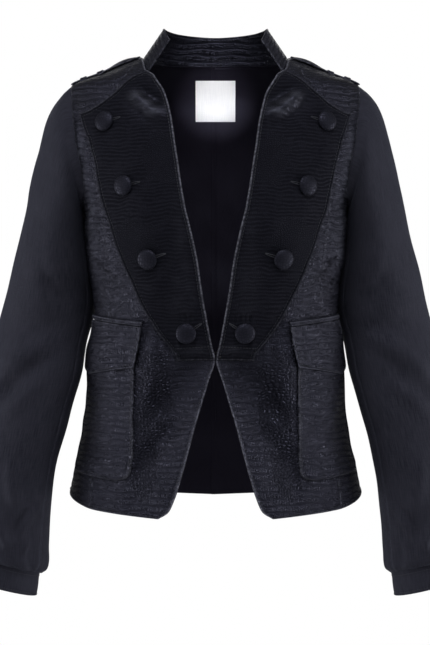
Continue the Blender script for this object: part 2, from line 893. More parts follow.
# Cloth walls.
NEAR_EDGE = np.array([0, 0.15, 0.5, 1.0, 2.0, 3.2, 4.2, 5.2, 7.0])
EDGE_ROUNDING = 0.85


def spread_shares(length, count):
    """Shares from one edge of a sheet to the other, closer together near both edges."""
    length = np.asarray(length, float)[..., None]
    near = NEAR_EDGE * np.minimum(1, 0.4 * length / NEAR_EDGE[-1])
    middle = mix(near[..., -1:], length - near[..., -1:], np.linspace(0, 1, count + 1)[1:-1])
    return np.concatenate([near, middle, length - near[..., ::-1]], -1) / length


class Sheet:
    """One cut piece: its fine grid of outer and inner points and how far each lies from its edges."""

    def __init__(self, surface, columns, rows, wall, lift=0.0, relief=None, edges=None, side=1, ring=False):
        self.ring = ring
        self.side = side
        self.edges = edges or {}
        coarse = np.linspace(0, 1, 25)
        across, down = np.meshgrid(coarse, coarse)
        height = path_lengths(surface(across, down)[0], 0)[-1].mean()
        falls = spread_shares(height, rows)
        across, down = np.meshgrid(coarse, falls)
        widths = path_lengths(surface(across, down)[0], 1)[:, -1]
        if ring:
            shares = np.broadcast_to(np.linspace(0, 1, columns + 1)[:-1], (len(falls), columns))
        else:
            shares = spread_shares(widths, columns)
        falls = np.broadcast_to(falls[:, None], shares.shape)
        points, inside, spread = surface(shares, falls)
        self.normals = self.find_normals(points, inside)
        self.spread = spread
        self.measure(points)
        lifted = np.zeros(shares.shape)
        if relief is not None:
            lifted += relief(points, self.normals, side)
        for name, edge in self.edges.items():
            if "hold" in edge:
                lifted *= smooth_step(self.reach[name], 0, edge["hold"])
        if edges:
            lifted += edge_relief(self.reach, edges)
        self.base = points
        half = wall / 2
        close = np.clip(1 - self.reach["edge"] / half, 0, 1)
        round_off = EDGE_ROUNDING * half * (1 - np.sqrt(1 - close**2))
        middle = lift + half + lifted
        self.outer = points + self.normals * (middle + half - round_off)[..., None]
        self.inner = points + self.normals * (middle - half + round_off)[..., None]

    def find_normals(self, points, inside):
        if self.ring:
            round_step = np.roll(points, -1, axis=1) - np.roll(points, 1, axis=1)
        else:
            round_step = np.gradient(points, axis=1)
        normals = unit(np.cross(round_step, np.gradient(points, axis=0)))
        return normals if ((points - inside) * normals).sum() > 0 else -normals

    def measure(self, points):
        """How far each point lies from the four edges, and along them."""
        down = path_lengths(points, 0)
        across = path_lengths(points, 1)
        reach = {"top": down, "bottom": down[-1] - down}
        if self.ring:
            reach["start"] = reach["end"] = np.full(down.shape, 1000.0)
        else:
            reach["start"] = across
            reach["end"] = across[:, -1:] - across
        sides = ("top", "bottom", "start", "end")
        reach["edge"] = np.minimum.reduce([reach[name] for name in sides])
        for name in sides:
            reach["along_" + name] = across if name in ("top", "bottom") else down
        self.reach = reach

    def line(self, edge, away, start=0.0, stop=0.0, face="outer"):
        """Points and normals along the piece at one distance from an edge."""
        grid = getattr(self, face)
        reach = self.reach[edge]
        normals = self.normals
        turned = edge in ("top", "bottom")
        if turned:
            reach, grid, normals = reach.T, grid.swapaxes(0, 1), normals.swapaxes(0, 1)
        if reach[0, 0] > reach[0, -1]:
            reach, grid, normals = reach[:, ::-1], grid[:, ::-1], normals[:, ::-1]
        spots, facing = [], []
        for row in range(len(reach)):
            at = np.interp(away, reach[row], np.arange(reach.shape[1]))
            low = min(int(at), reach.shape[1] - 2)
            spots.append(mix(grid[row, low], grid[row, low + 1], at - low))
            facing.append(mix(normals[row, low], normals[row, low + 1], at - low))
        spots, facing = np.array(spots), np.array(facing)
        length = run_lengths(spots)
        kept = (length >= start) & (length <= length[-1] - stop)
        mirror = (self.side, 1, 1)
        outward = mirror if face == "outer" else (-self.side, -1, -1)
        return spots[kept] * mirror, facing[kept] * outward

    def mesh(self, name):
        """The closed wall as a mesh in metres, with its flat map and the masks of its finish."""
        rows, columns = self.outer.shape[:2]
        mirror = (self.side, 1, 1)
        points = np.concatenate([(self.outer * mirror).reshape(-1, 3), (self.inner * mirror).reshape(-1, 3)])
        layer = rows * columns
        index = np.arange(layer).reshape(rows, columns)
        if self.ring:
            index = np.concatenate([index, index[:, :1]], axis=1)
        outer = np.stack([index[:-1, :-1], index[1:, :-1], index[1:, 1:], index[:-1, 1:]], -1).reshape(-1, 4)
        quads = [outer, outer[:, [0, 3, 2, 1]] + layer]
        rims = [index[0, ::-1], index[-1]]
        if not self.ring:
            rims += [index[:, 0], index[::-1, -1]]
        for rim in rims:
            quads.append(np.stack([rim[:-1], rim[:-1] + layer, rim[1:] + layer, rim[1:]], -1))
        faces = np.concatenate(quads)
        corners = points[faces]
        parts = ((0, 1, 2), (0, 2, 3))
        volume = sum(np.einsum("ij,ij->", corners[:, a], np.cross(corners[:, b], corners[:, c]))
                     for a, b, c in parts)
        if volume < 0:
            faces = faces[:, ::-1]
        mesh = bpy.data.meshes.new(name)
        mesh.from_pydata((points * MM).tolist(), [], faces.tolist())
        spread = np.concatenate([self.spread.reshape(-1, 2)] * 2) * MM
        if self.side < 0:
            spread = spread + (LEFT_MAP_SHIFT, 0)
        self.write_map(mesh, spread, faces)
        masks = {
            "edge_away": self.reach["edge"] * MM,
            "rubbed": self.edge_mask("rub", 1.1, 0.9),
            "raw_edge": self.edge_mask("raw", 0.0, 1.2),
            "small_scales": oval_mask(SMALL_SCALES, self.base),
            "polished": oval_mask(POLISHED, self.base),
            "scuffed": oval_mask(SCUFFED, self.base),
        }
        for mask, values in masks.items():
            attribute = mesh.attributes.new(mask, "FLOAT", "POINT")
            attribute.data.foreach_set("value", np.tile(values.ravel(), 2).astype(np.float32))
        return mesh

    def edge_mask(self, key, away, width):
        """A soft band along the edges that have a value under the key."""
        mask = np.zeros(self.base.shape[:2])
        for name, edge in self.edges.items():
            band = np.exp(-(((self.reach[name] - away) / width) ** 2))
            mask = np.maximum(mask, edge.get(key, 0) * band)
        return mask

    def write_map(self, mesh, spread, faces):
        """Lays the piece out flat, mending the step where a ring closes."""
        corners = spread[faces]
        if self.ring:
            girth = spread[:, 0].max()
            wraps = corners[..., 0].max(1, keepdims=True) - corners[..., 0] > girth / 2
            corners[..., 0] += np.where(wraps, girth, 0)
        layer = mesh.uv_layers.new(name="UVMap")
        layer.data.foreach_set("uv", corners.reshape(-1).astype(np.float32))


LEFT_MAP_SHIFT = 1.37


def oval_mask(ovals, points):
    """Soft ovals of a table, as seen from the front."""
    mask = np.zeros(points.shape[:2])
    for x, z, span_x, span_z, share in zip(*ovals.values()):
        away = ((points[..., 0] - x) / span_x) ** 2 + ((points[..., 2] - z) / span_z) ** 2
        mask = np.maximum(mask, share * np.exp(-away))
    return np.where(points[..., 1] < SIDE_Y, mask, 0)


def place_mesh(name, mesh, material, replaced=(), smooth=50):
    """Puts a mesh in the scene as a piece of the jacket."""
    for polygon in mesh.polygons:
        polygon.use_smooth = True
    mesh.set_sharp_from_angle(angle=math.radians(smooth))
    mesh.validate()
    piece = bpy.data.objects.new(name, mesh)
    bpy.context.scene.collection.objects.link(piece)
    mesh.materials.append(material)
    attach(piece, "root")
    if replaced:
        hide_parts(*replaced)
    return piece


# Stitches: each is a spindle of a few rings, a little sunk at its ends.
STITCH_SIDES = 6
STITCH_STEPS = np.array([0.0, 0.15, 0.5, 0.85, 1.0])
STITCH_SWELL = (0.35, 0.85, 1.0, 0.85, 0.35)
STITCH_FLATNESS = 0.42
STITCH_LIFT = 0.2
STITCH_SINK = 0.25
THREAD_SMOOTH = 80


def add_stitches(store, line, length, pitch, width):
    """Adds a run of small sewn stitches along a line of points to a store of points and faces."""
    points, normals = line
    lengths = run_lengths(points)
    section = np.radians(np.arange(STITCH_SIDES) * 360 / STITCH_SIDES)
    for stitch in range(int(lengths[-1] / pitch)):
        start = stitch * pitch + (pitch - length) / 2
        places = start + length * STITCH_STEPS
        spots, up = (np.stack([np.interp(places, lengths, values[:, axis]) for axis in range(3)], -1)
                     for values in (points, normals))
        up = unit(up)
        across = np.cross(unit(np.gradient(spots, axis=0)), up)
        base = len(store["points"])
        for ring, (spot, rise, sideways) in enumerate(zip(spots, up, across)):
            size = width * STITCH_SWELL[ring]
            sunk = width * STITCH_SINK * (1 - STITCH_SWELL[ring])
            for turn in section:
                height = math.sin(turn) * size * STITCH_FLATNESS
                offset = sideways * math.cos(turn) * size / 2 + rise * height
                store["points"].append(spot + offset + rise * (width * STITCH_LIFT - sunk))
        for ring in range(len(STITCH_STEPS) - 1):
            low = base + ring * STITCH_SIDES
            high = low + STITCH_SIDES
            for corner in range(STITCH_SIDES):
                following = (corner + 1) % STITCH_SIDES
                store["faces"].append((low + corner, low + following, high + following, high + corner))
        last = base + (len(STITCH_STEPS) - 1) * STITCH_SIDES
        store["faces"].append(tuple(base + corner for corner in reversed(range(STITCH_SIDES))))
        store["faces"].append(tuple(last + corner for corner in range(STITCH_SIDES)))


def new_store():
    return {"points": [], "faces": []}


def place_stitches(name, store, material):
    mesh = bpy.data.meshes.new(name)
    points = np.array(store["points"]) * MM
    faces = store["faces"]
    first, second, third = (points[[face[corner] for face in faces]] for corner in range(3))
    normal = np.cross(second - first, third - first)
    if np.einsum("ij,ij->", first - points.mean(0), normal) < 0:
        faces = [tuple(reversed(face)) for face in faces]
    mesh.from_pydata(points.tolist(), [], faces)
    return place_mesh(name, mesh, material, smooth=THREAD_SMOOTH)


# Shader nodes.
FLAT = {"noise_dimensions": "2D"}
TO_EDGE = {"feature": "DISTANCE_TO_EDGE"}
FLOAT, VECTOR = "NodeSocketFloat", "NodeSocketVector"


class Nodes:
    """Adds and links the nodes of one material or group."""

    def __init__(self, tree):
        self.tree = tree

    def add(self, kind, settings=None, **inputs):
        node = self.tree.nodes.new(kind)
        for name, value in (settings or {}).items():
            setattr(node, name, value)
        for name, value in inputs.items():
            self.feed(node.inputs[name.replace("_", " ")], value)
        return node

    def feed(self, socket, value):
        if isinstance(value, bpy.types.NodeSocket):
            self.tree.links.new(value, socket)
        else:
            socket.default_value = value

    def math(self, operation, *values, clamp=False):
        node = self.tree.nodes.new("ShaderNodeMath")
        node.operation = operation
        node.use_clamp = clamp
        for socket, value in zip(node.inputs, values):
            self.feed(socket, value)
        return node.outputs[0]

    def vector(self, operation, *values):
        node = self.tree.nodes.new("ShaderNodeVectorMath")
        node.operation = operation
        for socket, value in zip(node.inputs, values):
            self.feed(socket, value)
        return node.outputs[0]

    def blend(self, share, first, second, colour=True):
        node = self.tree.nodes.new("ShaderNodeMix")
        node.data_type = "RGBA" if colour else "FLOAT"
        pair = (6, 7) if colour else (2, 3)
        self.feed(node.inputs[0], share)
        self.feed(node.inputs[pair[0]], first)
        self.feed(node.inputs[pair[1]], second)
        return node.outputs[2 if colour else 0]

    def ramp(self, value, low, high, to_low=0.0, to_high=1.0):
        node = self.tree.nodes.new("ShaderNodeMapRange")
        node.interpolation_type = "SMOOTHSTEP"
        for socket, number in zip(node.inputs, (value, low, high, to_low, to_high)):
            self.feed(socket, number)
        return node.outputs[0]

    def noise(self, vector, scale, detail=2.0, roughness=0.5, dimensions="3D"):
        node = self.add("ShaderNodeTexNoise", {"noise_dimensions": dimensions}, Vector=vector, Scale=scale,
                        Detail=detail, Roughness=roughness)
        return node.outputs[0]

    def mask(self, name):
        return self.add("ShaderNodeAttribute", {"attribute_name": name}).outputs["Fac"]

    def place(self, kind):
        return self.add("ShaderNodeTexCoord").outputs[kind]

    def in_millimetres(self, place):
        scaled = self.vector("SCALE", place)
        scaled.node.inputs["Scale"].default_value = 1 / MM
        return scaled

    def wander(self, place, scale, detail, reach):
        """Uneven shifts of a flat place."""
        noise = self.add("ShaderNodeTexNoise", FLAT, Vector=place, Scale=scale, Detail=detail)
        shift = self.vector("SUBTRACT", noise.outputs["Color"], (0.5, 0.5, 0.5))
        return self.vector("MULTIPLY", shift, reach)

    def cells(self, settings, randomness, **inputs):
        return self.add("ShaderNodeTexVoronoi", settings, Randomness=randomness, **inputs).outputs


def new_group(name, inputs, outputs):
    """A shader node group with its sockets, and the nodes to fill it with."""
    tree = bpy.data.node_groups.new(name, "ShaderNodeTree")
    for label, kind, value in inputs:
        socket = tree.interface.new_socket(name=label, in_out="INPUT", socket_type=kind)
        if value is not None:
            socket.default_value = value
    for label, kind in outputs:
        tree.interface.new_socket(name=label, in_out="OUTPUT", socket_type=kind)
    nodes = Nodes(tree)
    return tree, nodes, tree.nodes.new("NodeGroupInput").outputs, tree.nodes.new("NodeGroupOutput").inputs


def use_group(nodes, tree, **inputs):
    node = nodes.tree.nodes.new("ShaderNodeGroup")
    node.node_tree = tree
    for name, value in inputs.items():
        nodes.feed(node.inputs[name.replace("_", " ")], value)
    return node.outputs


def emboss_group():
    """Rows of crocodile plates that turn into small round scales where the mask says."""
    tree, nodes, given, made = new_group(
        "Crocodile emboss",
        [("Place", VECTOR, None), ("Small Scales", FLOAT, 0.0), ("Plate Height", FLOAT, 8.0),
         ("Plate Width", FLOAT, 14.0), ("Scale Size", FLOAT, 3.4)],
        [("Height", FLOAT), ("Groove", FLOAT), ("Tone", FLOAT)],
    )
    place = nodes.in_millimetres(given["Place"])
    bend = nodes.wander(place, 0.035, 2.0, (9.0, 9.0, 0.0))
    fine = nodes.wander(place, 0.22, 1.0, (1.8, 1.4, 0.0))
    bent = nodes.vector("ADD", nodes.vector("ADD", place, bend), fine)
    parts = nodes.add("ShaderNodeSeparateXYZ", Vector=bent).outputs
    level = nodes.math("DIVIDE", parts["Y"], given["Plate Height"])
    row = nodes.math("FLOOR", level)
    within = nodes.math("FRACT", level)
    to_row_edge = nodes.math("MINIMUM", within, nodes.math("SUBTRACT", 1.0, within))
    to_row_edge = nodes.math("MULTIPLY", to_row_edge, given["Plate Height"])
    chance = nodes.add("ShaderNodeTexWhiteNoise", {"noise_dimensions": "1D"}, W=row).outputs["Value"]
    stretch = nodes.math("MULTIPLY_ADD", chance, 0.7, 0.65)
    along = nodes.math("DIVIDE", parts["X"], given["Plate Width"])
    along = nodes.math("MULTIPLY_ADD", along, stretch, nodes.math("MULTIPLY", chance, 83.0))
    side = nodes.cells({"voronoi_dimensions": "1D", **TO_EDGE}, 0.8, W=along, Scale=1.0)
    to_side = nodes.math("MULTIPLY", side["Distance"], given["Plate Width"])
    cell = nodes.cells({"voronoi_dimensions": "1D"}, 0.8, W=along, Scale=1.0)
    to_side = nodes.math("MULTIPLY_ADD", to_side, 1.5, 0.95)
    to_groove = nodes.math("SMOOTH_MIN", to_row_edge, to_side, 0.7)
    plate = nodes.ramp(to_groove, 0.0, 2.4)
    faint = nodes.ramp(nodes.noise(place, 0.075, 2.0, dimensions="2D"), 0.46, 0.64, 0.0, 0.55)
    plate = nodes.math("MAXIMUM", plate, faint)
    halves = nodes.math("FRACT", nodes.math("MULTIPLY_ADD", level, 2.0, nodes.math("MULTIPLY", chance, 0.5)))
    crease = nodes.ramp(nodes.math("ABSOLUTE", nodes.math("SUBTRACT", halves, 0.5)), 0.0, 0.16)
    sway = nodes.noise(place, 0.12, 1.0, dimensions="2D")
    ribs = nodes.math("SINE", nodes.math("MULTIPLY_ADD", sway, 9.0, nodes.math("MULTIPLY", parts["X"], 2.7)))
    crumbs = nodes.cells({"voronoi_dimensions": "2D", **TO_EDGE}, 0.9, Vector=bent, Scale=0.42)
    crumb = nodes.ramp(crumbs["Distance"], 0.02, 0.35)
    fine_height = nodes.math("MULTIPLY_ADD", crease, 0.14, nodes.math("MULTIPLY_ADD", ribs, 0.13, 0.4))
    fine_height = nodes.math("MULTIPLY_ADD", crumb, 0.36, fine_height)
    plate = nodes.math("MULTIPLY", plate, fine_height)
    numbered = nodes.add("ShaderNodeCombineXYZ", X=row, Y=cell["W"]).outputs[0]
    plate_tone = nodes.add("ShaderNodeTexWhiteNoise", FLAT, Vector=numbered)
    size = nodes.add("ShaderNodeCombineXYZ", X=given["Scale Size"], Y=given["Scale Size"], Z=1.0)
    small = nodes.vector("DIVIDE", bent, size.outputs[0])
    web = nodes.cells({"voronoi_dimensions": "2D", **TO_EDGE}, 0.75, Vector=small, Scale=1.0)
    beads = nodes.cells({"voronoi_dimensions": "2D"}, 0.75, Vector=small, Scale=1.0)
    scale = nodes.ramp(web["Distance"], 0.02, 0.34)
    scale_tone = nodes.add("ShaderNodeSeparateColor", Color=beads["Color"]).outputs[0]
    blur = nodes.noise(place, 0.06, 2.0, dimensions="2D")
    share = nodes.math("ADD", given["Small Scales"], nodes.math("MULTIPLY_ADD", blur, 0.8, -0.4))
    share = nodes.ramp(share, 0.42, 0.52)
    height = nodes.blend(share, plate, scale, colour=False)
    nodes.feed(made["Height"], height)
    nodes.feed(made["Groove"], nodes.ramp(height, 0.0, 0.75, 1.0, 0.0))
    nodes.feed(made["Tone"], nodes.blend(share, plate_tone.outputs["Value"], scale_tone, colour=False))
    return tree


def grain_group():
    """Fine pores and creases of a coated skin."""
    tree, nodes, given, made = new_group(
        "Fine grain", [("Place", VECTOR, None), ("Size", FLOAT, 0.6)], [("Height", FLOAT), ("Cloud", FLOAT)])
    place = nodes.in_millimetres(given["Place"])
    rate = nodes.math("DIVIDE", 1.0, given["Size"])
    pores = nodes.add("ShaderNodeTexNoise", Vector=place, Scale=rate, Detail=3.0, Roughness=0.6)
    cloud = nodes.noise(place, 0.018, 3.0, 0.55)
    nodes.feed(made["Height"], pores.outputs[0])
    nodes.feed(made["Cloud"], nodes.ramp(cloud, 0.3, 0.7))
    return tree


def weave_group():
    """Crossing threads, with slubs, for the sleeve cloth, the satin, the label and the thread."""
    tree, nodes, given, made = new_group(
        "Woven threads", [("Place", VECTOR, None), ("Thread", FLOAT, 0.5), ("Float", FLOAT, 1.0)],
        [("Height", FLOAT), ("Slub", FLOAT)])
    place = nodes.in_millimetres(given["Place"])
    parts = nodes.add("ShaderNodeSeparateXYZ", Vector=place).outputs
    turn = nodes.math("DIVIDE", math.pi, given["Thread"])
    warp = nodes.math("SINE", nodes.math("MULTIPLY", parts["X"], turn))
    down = nodes.math("MULTIPLY", parts["Y"], turn)
    weft = nodes.math("SINE", nodes.math("MULTIPLY", down, given["Float"]))
    crossing = nodes.math("MULTIPLY", warp, weft)
    raised = nodes.math("MULTIPLY_ADD", crossing, 0.5, 0.5)
    stretched = nodes.vector("MULTIPLY", place, (0.9, 0.05, 0.5))
    slub = nodes.noise(stretched, 1.0, 2.0)
    crossed = nodes.vector("MULTIPLY", place, (0.06, 0.8, 0.5))
    streak = nodes.noise(crossed, 1.0, 2.0)
    nodes.feed(made["Height"], raised)
    nodes.feed(made["Slub"], nodes.blend(0.25, slub, streak, colour=False))
    return tree


def wear_group():
    """How much an edge is rubbed, from how far each place lies from it."""
    tree, nodes, given, made = new_group(
        "Edge wear",
        [("Place", VECTOR, None), ("Away", FLOAT, 1.0), ("Reach", FLOAT, 1.6), ("Rubbed", FLOAT, 0.0)],
        [("Wear", FLOAT)],
    )
    millimetres = nodes.math("MULTIPLY", given["Away"], 1 / MM)
    near = nodes.ramp(nodes.math("DIVIDE", millimetres, given["Reach"]), 0.0, 1.0, 1.0, 0.0)
    place = nodes.in_millimetres(given["Place"])
    patchy = nodes.ramp(nodes.noise(place, 0.12, 3.0), 0.42, 0.62)
    worn = nodes.math("MULTIPLY", nodes.math("MULTIPLY", near, patchy), 0.45)
    beads = nodes.ramp(nodes.noise(place, 0.3, 2.0), 0.4, 0.62, 0.3, 1.0)
    rubbed = nodes.math("MULTIPLY", given["Rubbed"], beads)
    nodes.feed(made["Wear"], nodes.math("MAXIMUM", worn, rubbed))
    return tree


def new_material(name):
    material = bpy.data.materials.new(name)
    material.use_nodes = True
    tree = material.node_tree
    shader = tree.nodes["Principled BSDF"]
    return material, Nodes(tree), shader


def bump(nodes, height, distance, under=None):
    node = nodes.add("ShaderNodeBump", Height=height, Distance=distance, Strength=1.0)
    if under is not None:
        nodes.feed(node.inputs["Normal"], under)
    return node.outputs[0]


def feed_shader(nodes, shader, colour, roughness, normal=None):
    nodes.feed(shader.inputs["Base Color"], colour)
    nodes.feed(shader.inputs["Roughness"], roughness)
    if normal is not None:
        nodes.feed(shader.inputs["Normal"], normal)


BLUE_GLOSS = (0.66, 0.67, 1.0, 1.0)


def leather_material(name, finish, colours, groups, mapped=True, dull=0.0, depth=1.0, rows=1.0, lines=0.85):
    """Embossed faux leather, read from a piece's flat map or, on small hard pieces, from its place."""
    material, nodes, shader = new_material(name)
    place = nodes.place("UV" if mapped else "Object")
    if not mapped:
        place = nodes.add("ShaderNodeMapping", Vector=place, Rotation=(math.radians(90), 0, 0)).outputs[0]
    small = nodes.mask("small_scales") if mapped else 1.0
    emboss = use_group(nodes, groups["emboss"], Place=place, Small_Scales=small,
                       Plate_Height=finish.plate_height * rows / MM, Plate_Width=finish.plate_width / MM,
                       Scale_Size=finish.scale_size * rows / MM)
    grain = use_group(nodes, groups["grain"], Place=place, Size=finish.grain_size / MM)
    away = nodes.mask("edge_away") if mapped else 1.0
    rubbed = nodes.mask("rubbed") if mapped else 0.0
    wear = use_group(nodes, groups["wear"], Place=place, Away=away, Reach=1.8, Rubbed=rubbed)["Wear"]
    plate = nodes.blend(emboss["Tone"], (*colours.leather_dark, 1), (*colours.leather, 1))
    clouded = nodes.blend(nodes.math("MULTIPLY", grain["Cloud"], 0.35), plate, (*colours.leather_light, 1))
    if mapped:
        broken = nodes.math("MULTIPLY_ADD", emboss["Tone"], 0.5, 0.5)
        scuffed = nodes.math("MULTIPLY", nodes.mask("scuffed"), broken)
        clouded = nodes.blend(scuffed, clouded, (*colours.scuffed, 1))
    grooved = nodes.blend(nodes.math("MULTIPLY", emboss["Groove"], lines), clouded, (*colours.groove, 1))
    worn = nodes.blend(nodes.math("MULTIPLY", wear, 0.9), grooved, (*colours.worn_edge, 1))
    raw = nodes.mask("raw_edge") if mapped else 0.0
    polish = nodes.math("MAXIMUM", wear, nodes.mask("polished")) if mapped else 0.0
    base = nodes.ramp(polish, 0.0, 0.7, finish.leather_roughness + dull, finish.leather_roughness - 0.04)
    rough = nodes.math("MULTIPLY_ADD", emboss["Tone"], finish.tone_roughness, base)
    rough = nodes.math("MULTIPLY_ADD", grain["Height"], 0.1, rough)
    rough = nodes.math("MULTIPLY_ADD", emboss["Groove"], 0.4, rough)
    rough = nodes.math("MULTIPLY_ADD", raw, 0.5, rough, clamp=True)
    low = bump(nodes, emboss["Height"], finish.emboss_depth * depth)
    feed_shader(nodes, shader, nodes.blend(raw, worn, (*colours.groove, 1)), rough,
                bump(nodes, grain["Height"], finish.grain_depth, low))
    shader.inputs["Specular IOR Level"].default_value = 0.5 - dull * 0.7
    shader.inputs["Specular Tint"].default_value = BLUE_GLOSS
    return material


def cloth_material(name, dark, light, groups, thread, floats, roughness, sheen, depth):
    """Woven cloth with its threads, slubs and a soft sheen."""
    material, nodes, shader = new_material(name)
    place = nodes.place("UV")
    weave = use_group(nodes, groups["weave"], Place=place, Thread=thread, Float=floats)
    grain = use_group(nodes, groups["grain"], Place=place, Size=1.4)
    streaked = nodes.blend(nodes.ramp(weave["Slub"], 0.35, 0.65), (*dark, 1), (*light, 1))
    shaded = nodes.blend(nodes.math("MULTIPLY", weave["Height"], 0.3), streaked, (*light, 1))
    clouded = nodes.blend(nodes.math("MULTIPLY", grain["Cloud"], 0.45), shaded, (*light, 1))
    wear = use_group(nodes, groups["wear"], Place=place, Away=1.0, Rubbed=nodes.mask("rubbed"))["Wear"]
    rubbed_pale = tuple(min(1.0, value * 1.9) for value in light)
    rough = nodes.math("MULTIPLY_ADD", weave["Slub"], 0.16, roughness)
    fine = bump(nodes, weave["Height"], depth)
    feed_shader(nodes, shader, nodes.blend(wear, clouded, (*rubbed_pale, 1)), rough,
                bump(nodes, weave["Slub"], depth * 1.5, fine))
    shader.inputs["Specular Tint"].default_value = BLUE_GLOSS
    shader.inputs["Specular IOR Level"].default_value = 0.15
    shader.inputs["Sheen Weight"].default_value = sheen
    shader.inputs["Sheen Roughness"].default_value = 0.45
    shader.inputs["Sheen Tint"].default_value = (0.55, 0.6, 0.85, 1)
    return material


def thread_material(colours, groups):
    """Twisted sewing thread."""
    material, nodes, shader = new_material("sewing_thread")
    weave = use_group(nodes, groups["weave"], Place=nodes.place("Object"), Thread=0.35, Float=2.0)
    colour = nodes.blend(weave["Height"], (*colours.thread_dark, 1), (*colours.thread, 1))
    rough = nodes.math("MULTIPLY_ADD", weave["Slub"], 0.2, 0.4)
    feed_shader(nodes, shader, colour, rough, bump(nodes, weave["Height"], 0.06 * MM))
    return material


def metal_material(colours, groups):
    """Black enamelled wire, rubbed through in places."""
    material, nodes, shader = new_material("black_wire")
    grain = use_group(nodes, groups["grain"], Place=nodes.place("Object"), Size=0.5)
    rubbed = nodes.ramp(grain["Height"], 0.52, 0.66)
    colour = nodes.blend(rubbed, (*colours.wire, 1), (*colours.worn_wire, 1))
    rough = nodes.math("MULTIPLY_ADD", grain["Height"], 0.2, 0.25)
    feed_shader(nodes, shader, colour, rough, bump(nodes, grain["Height"], 0.03 * MM))
    shader.inputs["Metallic"].default_value = 0.8
    return material


def floor_material(colours):
    material, nodes, shader = new_material("studio_floor")
    cloud = nodes.noise(nodes.place("Object"), 1.3, 3.0)
    light = tuple(min(1.0, value * 1.03) for value in colours.floor)
    feed_shader(nodes, shader, nodes.blend(cloud, (*colours.floor, 1), (*light, 1)),
                nodes.math("MULTIPLY_ADD", cloud, 0.1, 0.8))
    return material


MATERIALS = {}


def make_materials(finish, colours):
    groups = {"emboss": emboss_group(), "grain": grain_group(), "weave": weave_group(), "wear": wear_group()}
    MATERIALS["leather"] = leather_material("crocodile_faux_leather", finish, colours, groups)
    MATERIALS["overlay"] = leather_material(
        "matt_crocodile_leather", finish, colours, groups, dull=0.4, depth=0.32, rows=0.6, lines=0.38)
    MATERIALS["covered"] = leather_material(
        "covered_button_leather", finish, colours, groups,
        mapped=False, dull=0.16, depth=0.08, rows=0.8, lines=0.25)
    MATERIALS["sleeve"] = cloth_material(
        "smooth_sleeve_cloth", colours.cloth_dark, colours.cloth, groups, thread=0.55, floats=0.8,
        roughness=0.5, sheen=0.06, depth=0.00016)
    MATERIALS["lining"] = cloth_material(
        "lining_satin", colours.lining_dark, colours.lining, groups, thread=0.3, floats=0.25,
        roughness=0.42, sheen=0.1, depth=0.00003)
    MATERIALS["label"] = cloth_material(
        "woven_label", colours.label_dark, colours.label, groups, thread=0.4, floats=1.0,
        roughness=0.6, sheen=0.05, depth=0.00005)
    MATERIALS["thread"] = thread_material(colours, groups)
    MATERIALS["wire"] = metal_material(colours, groups)


# Settings that a user would change.
def length(label, note, default):
    return bpy.props.FloatProperty(name=label, description=note, default=default, min=0, precision=5,
                                   subtype="DISTANCE", unit="LENGTH")


def colour(label, note, default):
    return bpy.props.FloatVectorProperty(name=label, description=note, default=default, size=3, min=0, max=1,
                                         subtype="COLOR")


def amount(label, note, default):
    return bpy.props.FloatProperty(name=label, description=note, default=default, min=0)


class JacketCutSettings(bpy.types.PropertyGroup):
    """Thicknesses of the cloth and sizes of the sewing."""
    leather_wall: length("Faux leather", "Thickness of the faux leather", 0.0016)
    sleeve_wall: length("Sleeve cloth", "Thickness of the sleeve cloth", 0.0012)
    lining_wall: length("Lining", "Thickness of the lining", 0.001)
    cuff_wall: length("Cuff", "Thickness of the cuff band", 0.002)
    label_wall: length("Label", "Thickness of the woven label", 0.0008)
    stitch_length: length("Stitch length", "Length of one topstitch", 0.0028)
    stitch_pitch: length("Stitch pitch", "From one topstitch to the next", 0.0037)
    stitch_width: length("Thread width", "Thickness of the sewing thread", 0.0007)
    button_radius: length("Button radius", "Radius of a covered button", 0.0124)
    button_rim: length("Button rim", "Height of the button's rim", 0.0024)
    button_height: length("Button height", "Height of the button's dome", 0.007)


class JacketFinishSettings(bpy.types.PropertyGroup):
    """Sizes and gloss of the surfaces."""
    plate_height: length("Plate height", "Height of one row of embossed plates", 0.0078)
    plate_width: length("Plate width", "Usual width of an embossed plate", 0.012)
    scale_size: length("Scale size", "Size of the small round scales", 0.0042)
    emboss_depth: length("Emboss depth", "How deep the grooves between plates are", 0.00105)
    grain_size: length("Grain size", "Size of the fine grain", 0.0009)
    grain_depth: length("Grain depth", "Depth of the fine grain", 0.00006)
    leather_roughness: amount("Leather roughness", "Least roughness of the faux leather", 0.18)
    tone_roughness: amount("Plate variation", "How much the plates differ in gloss", 0.06)


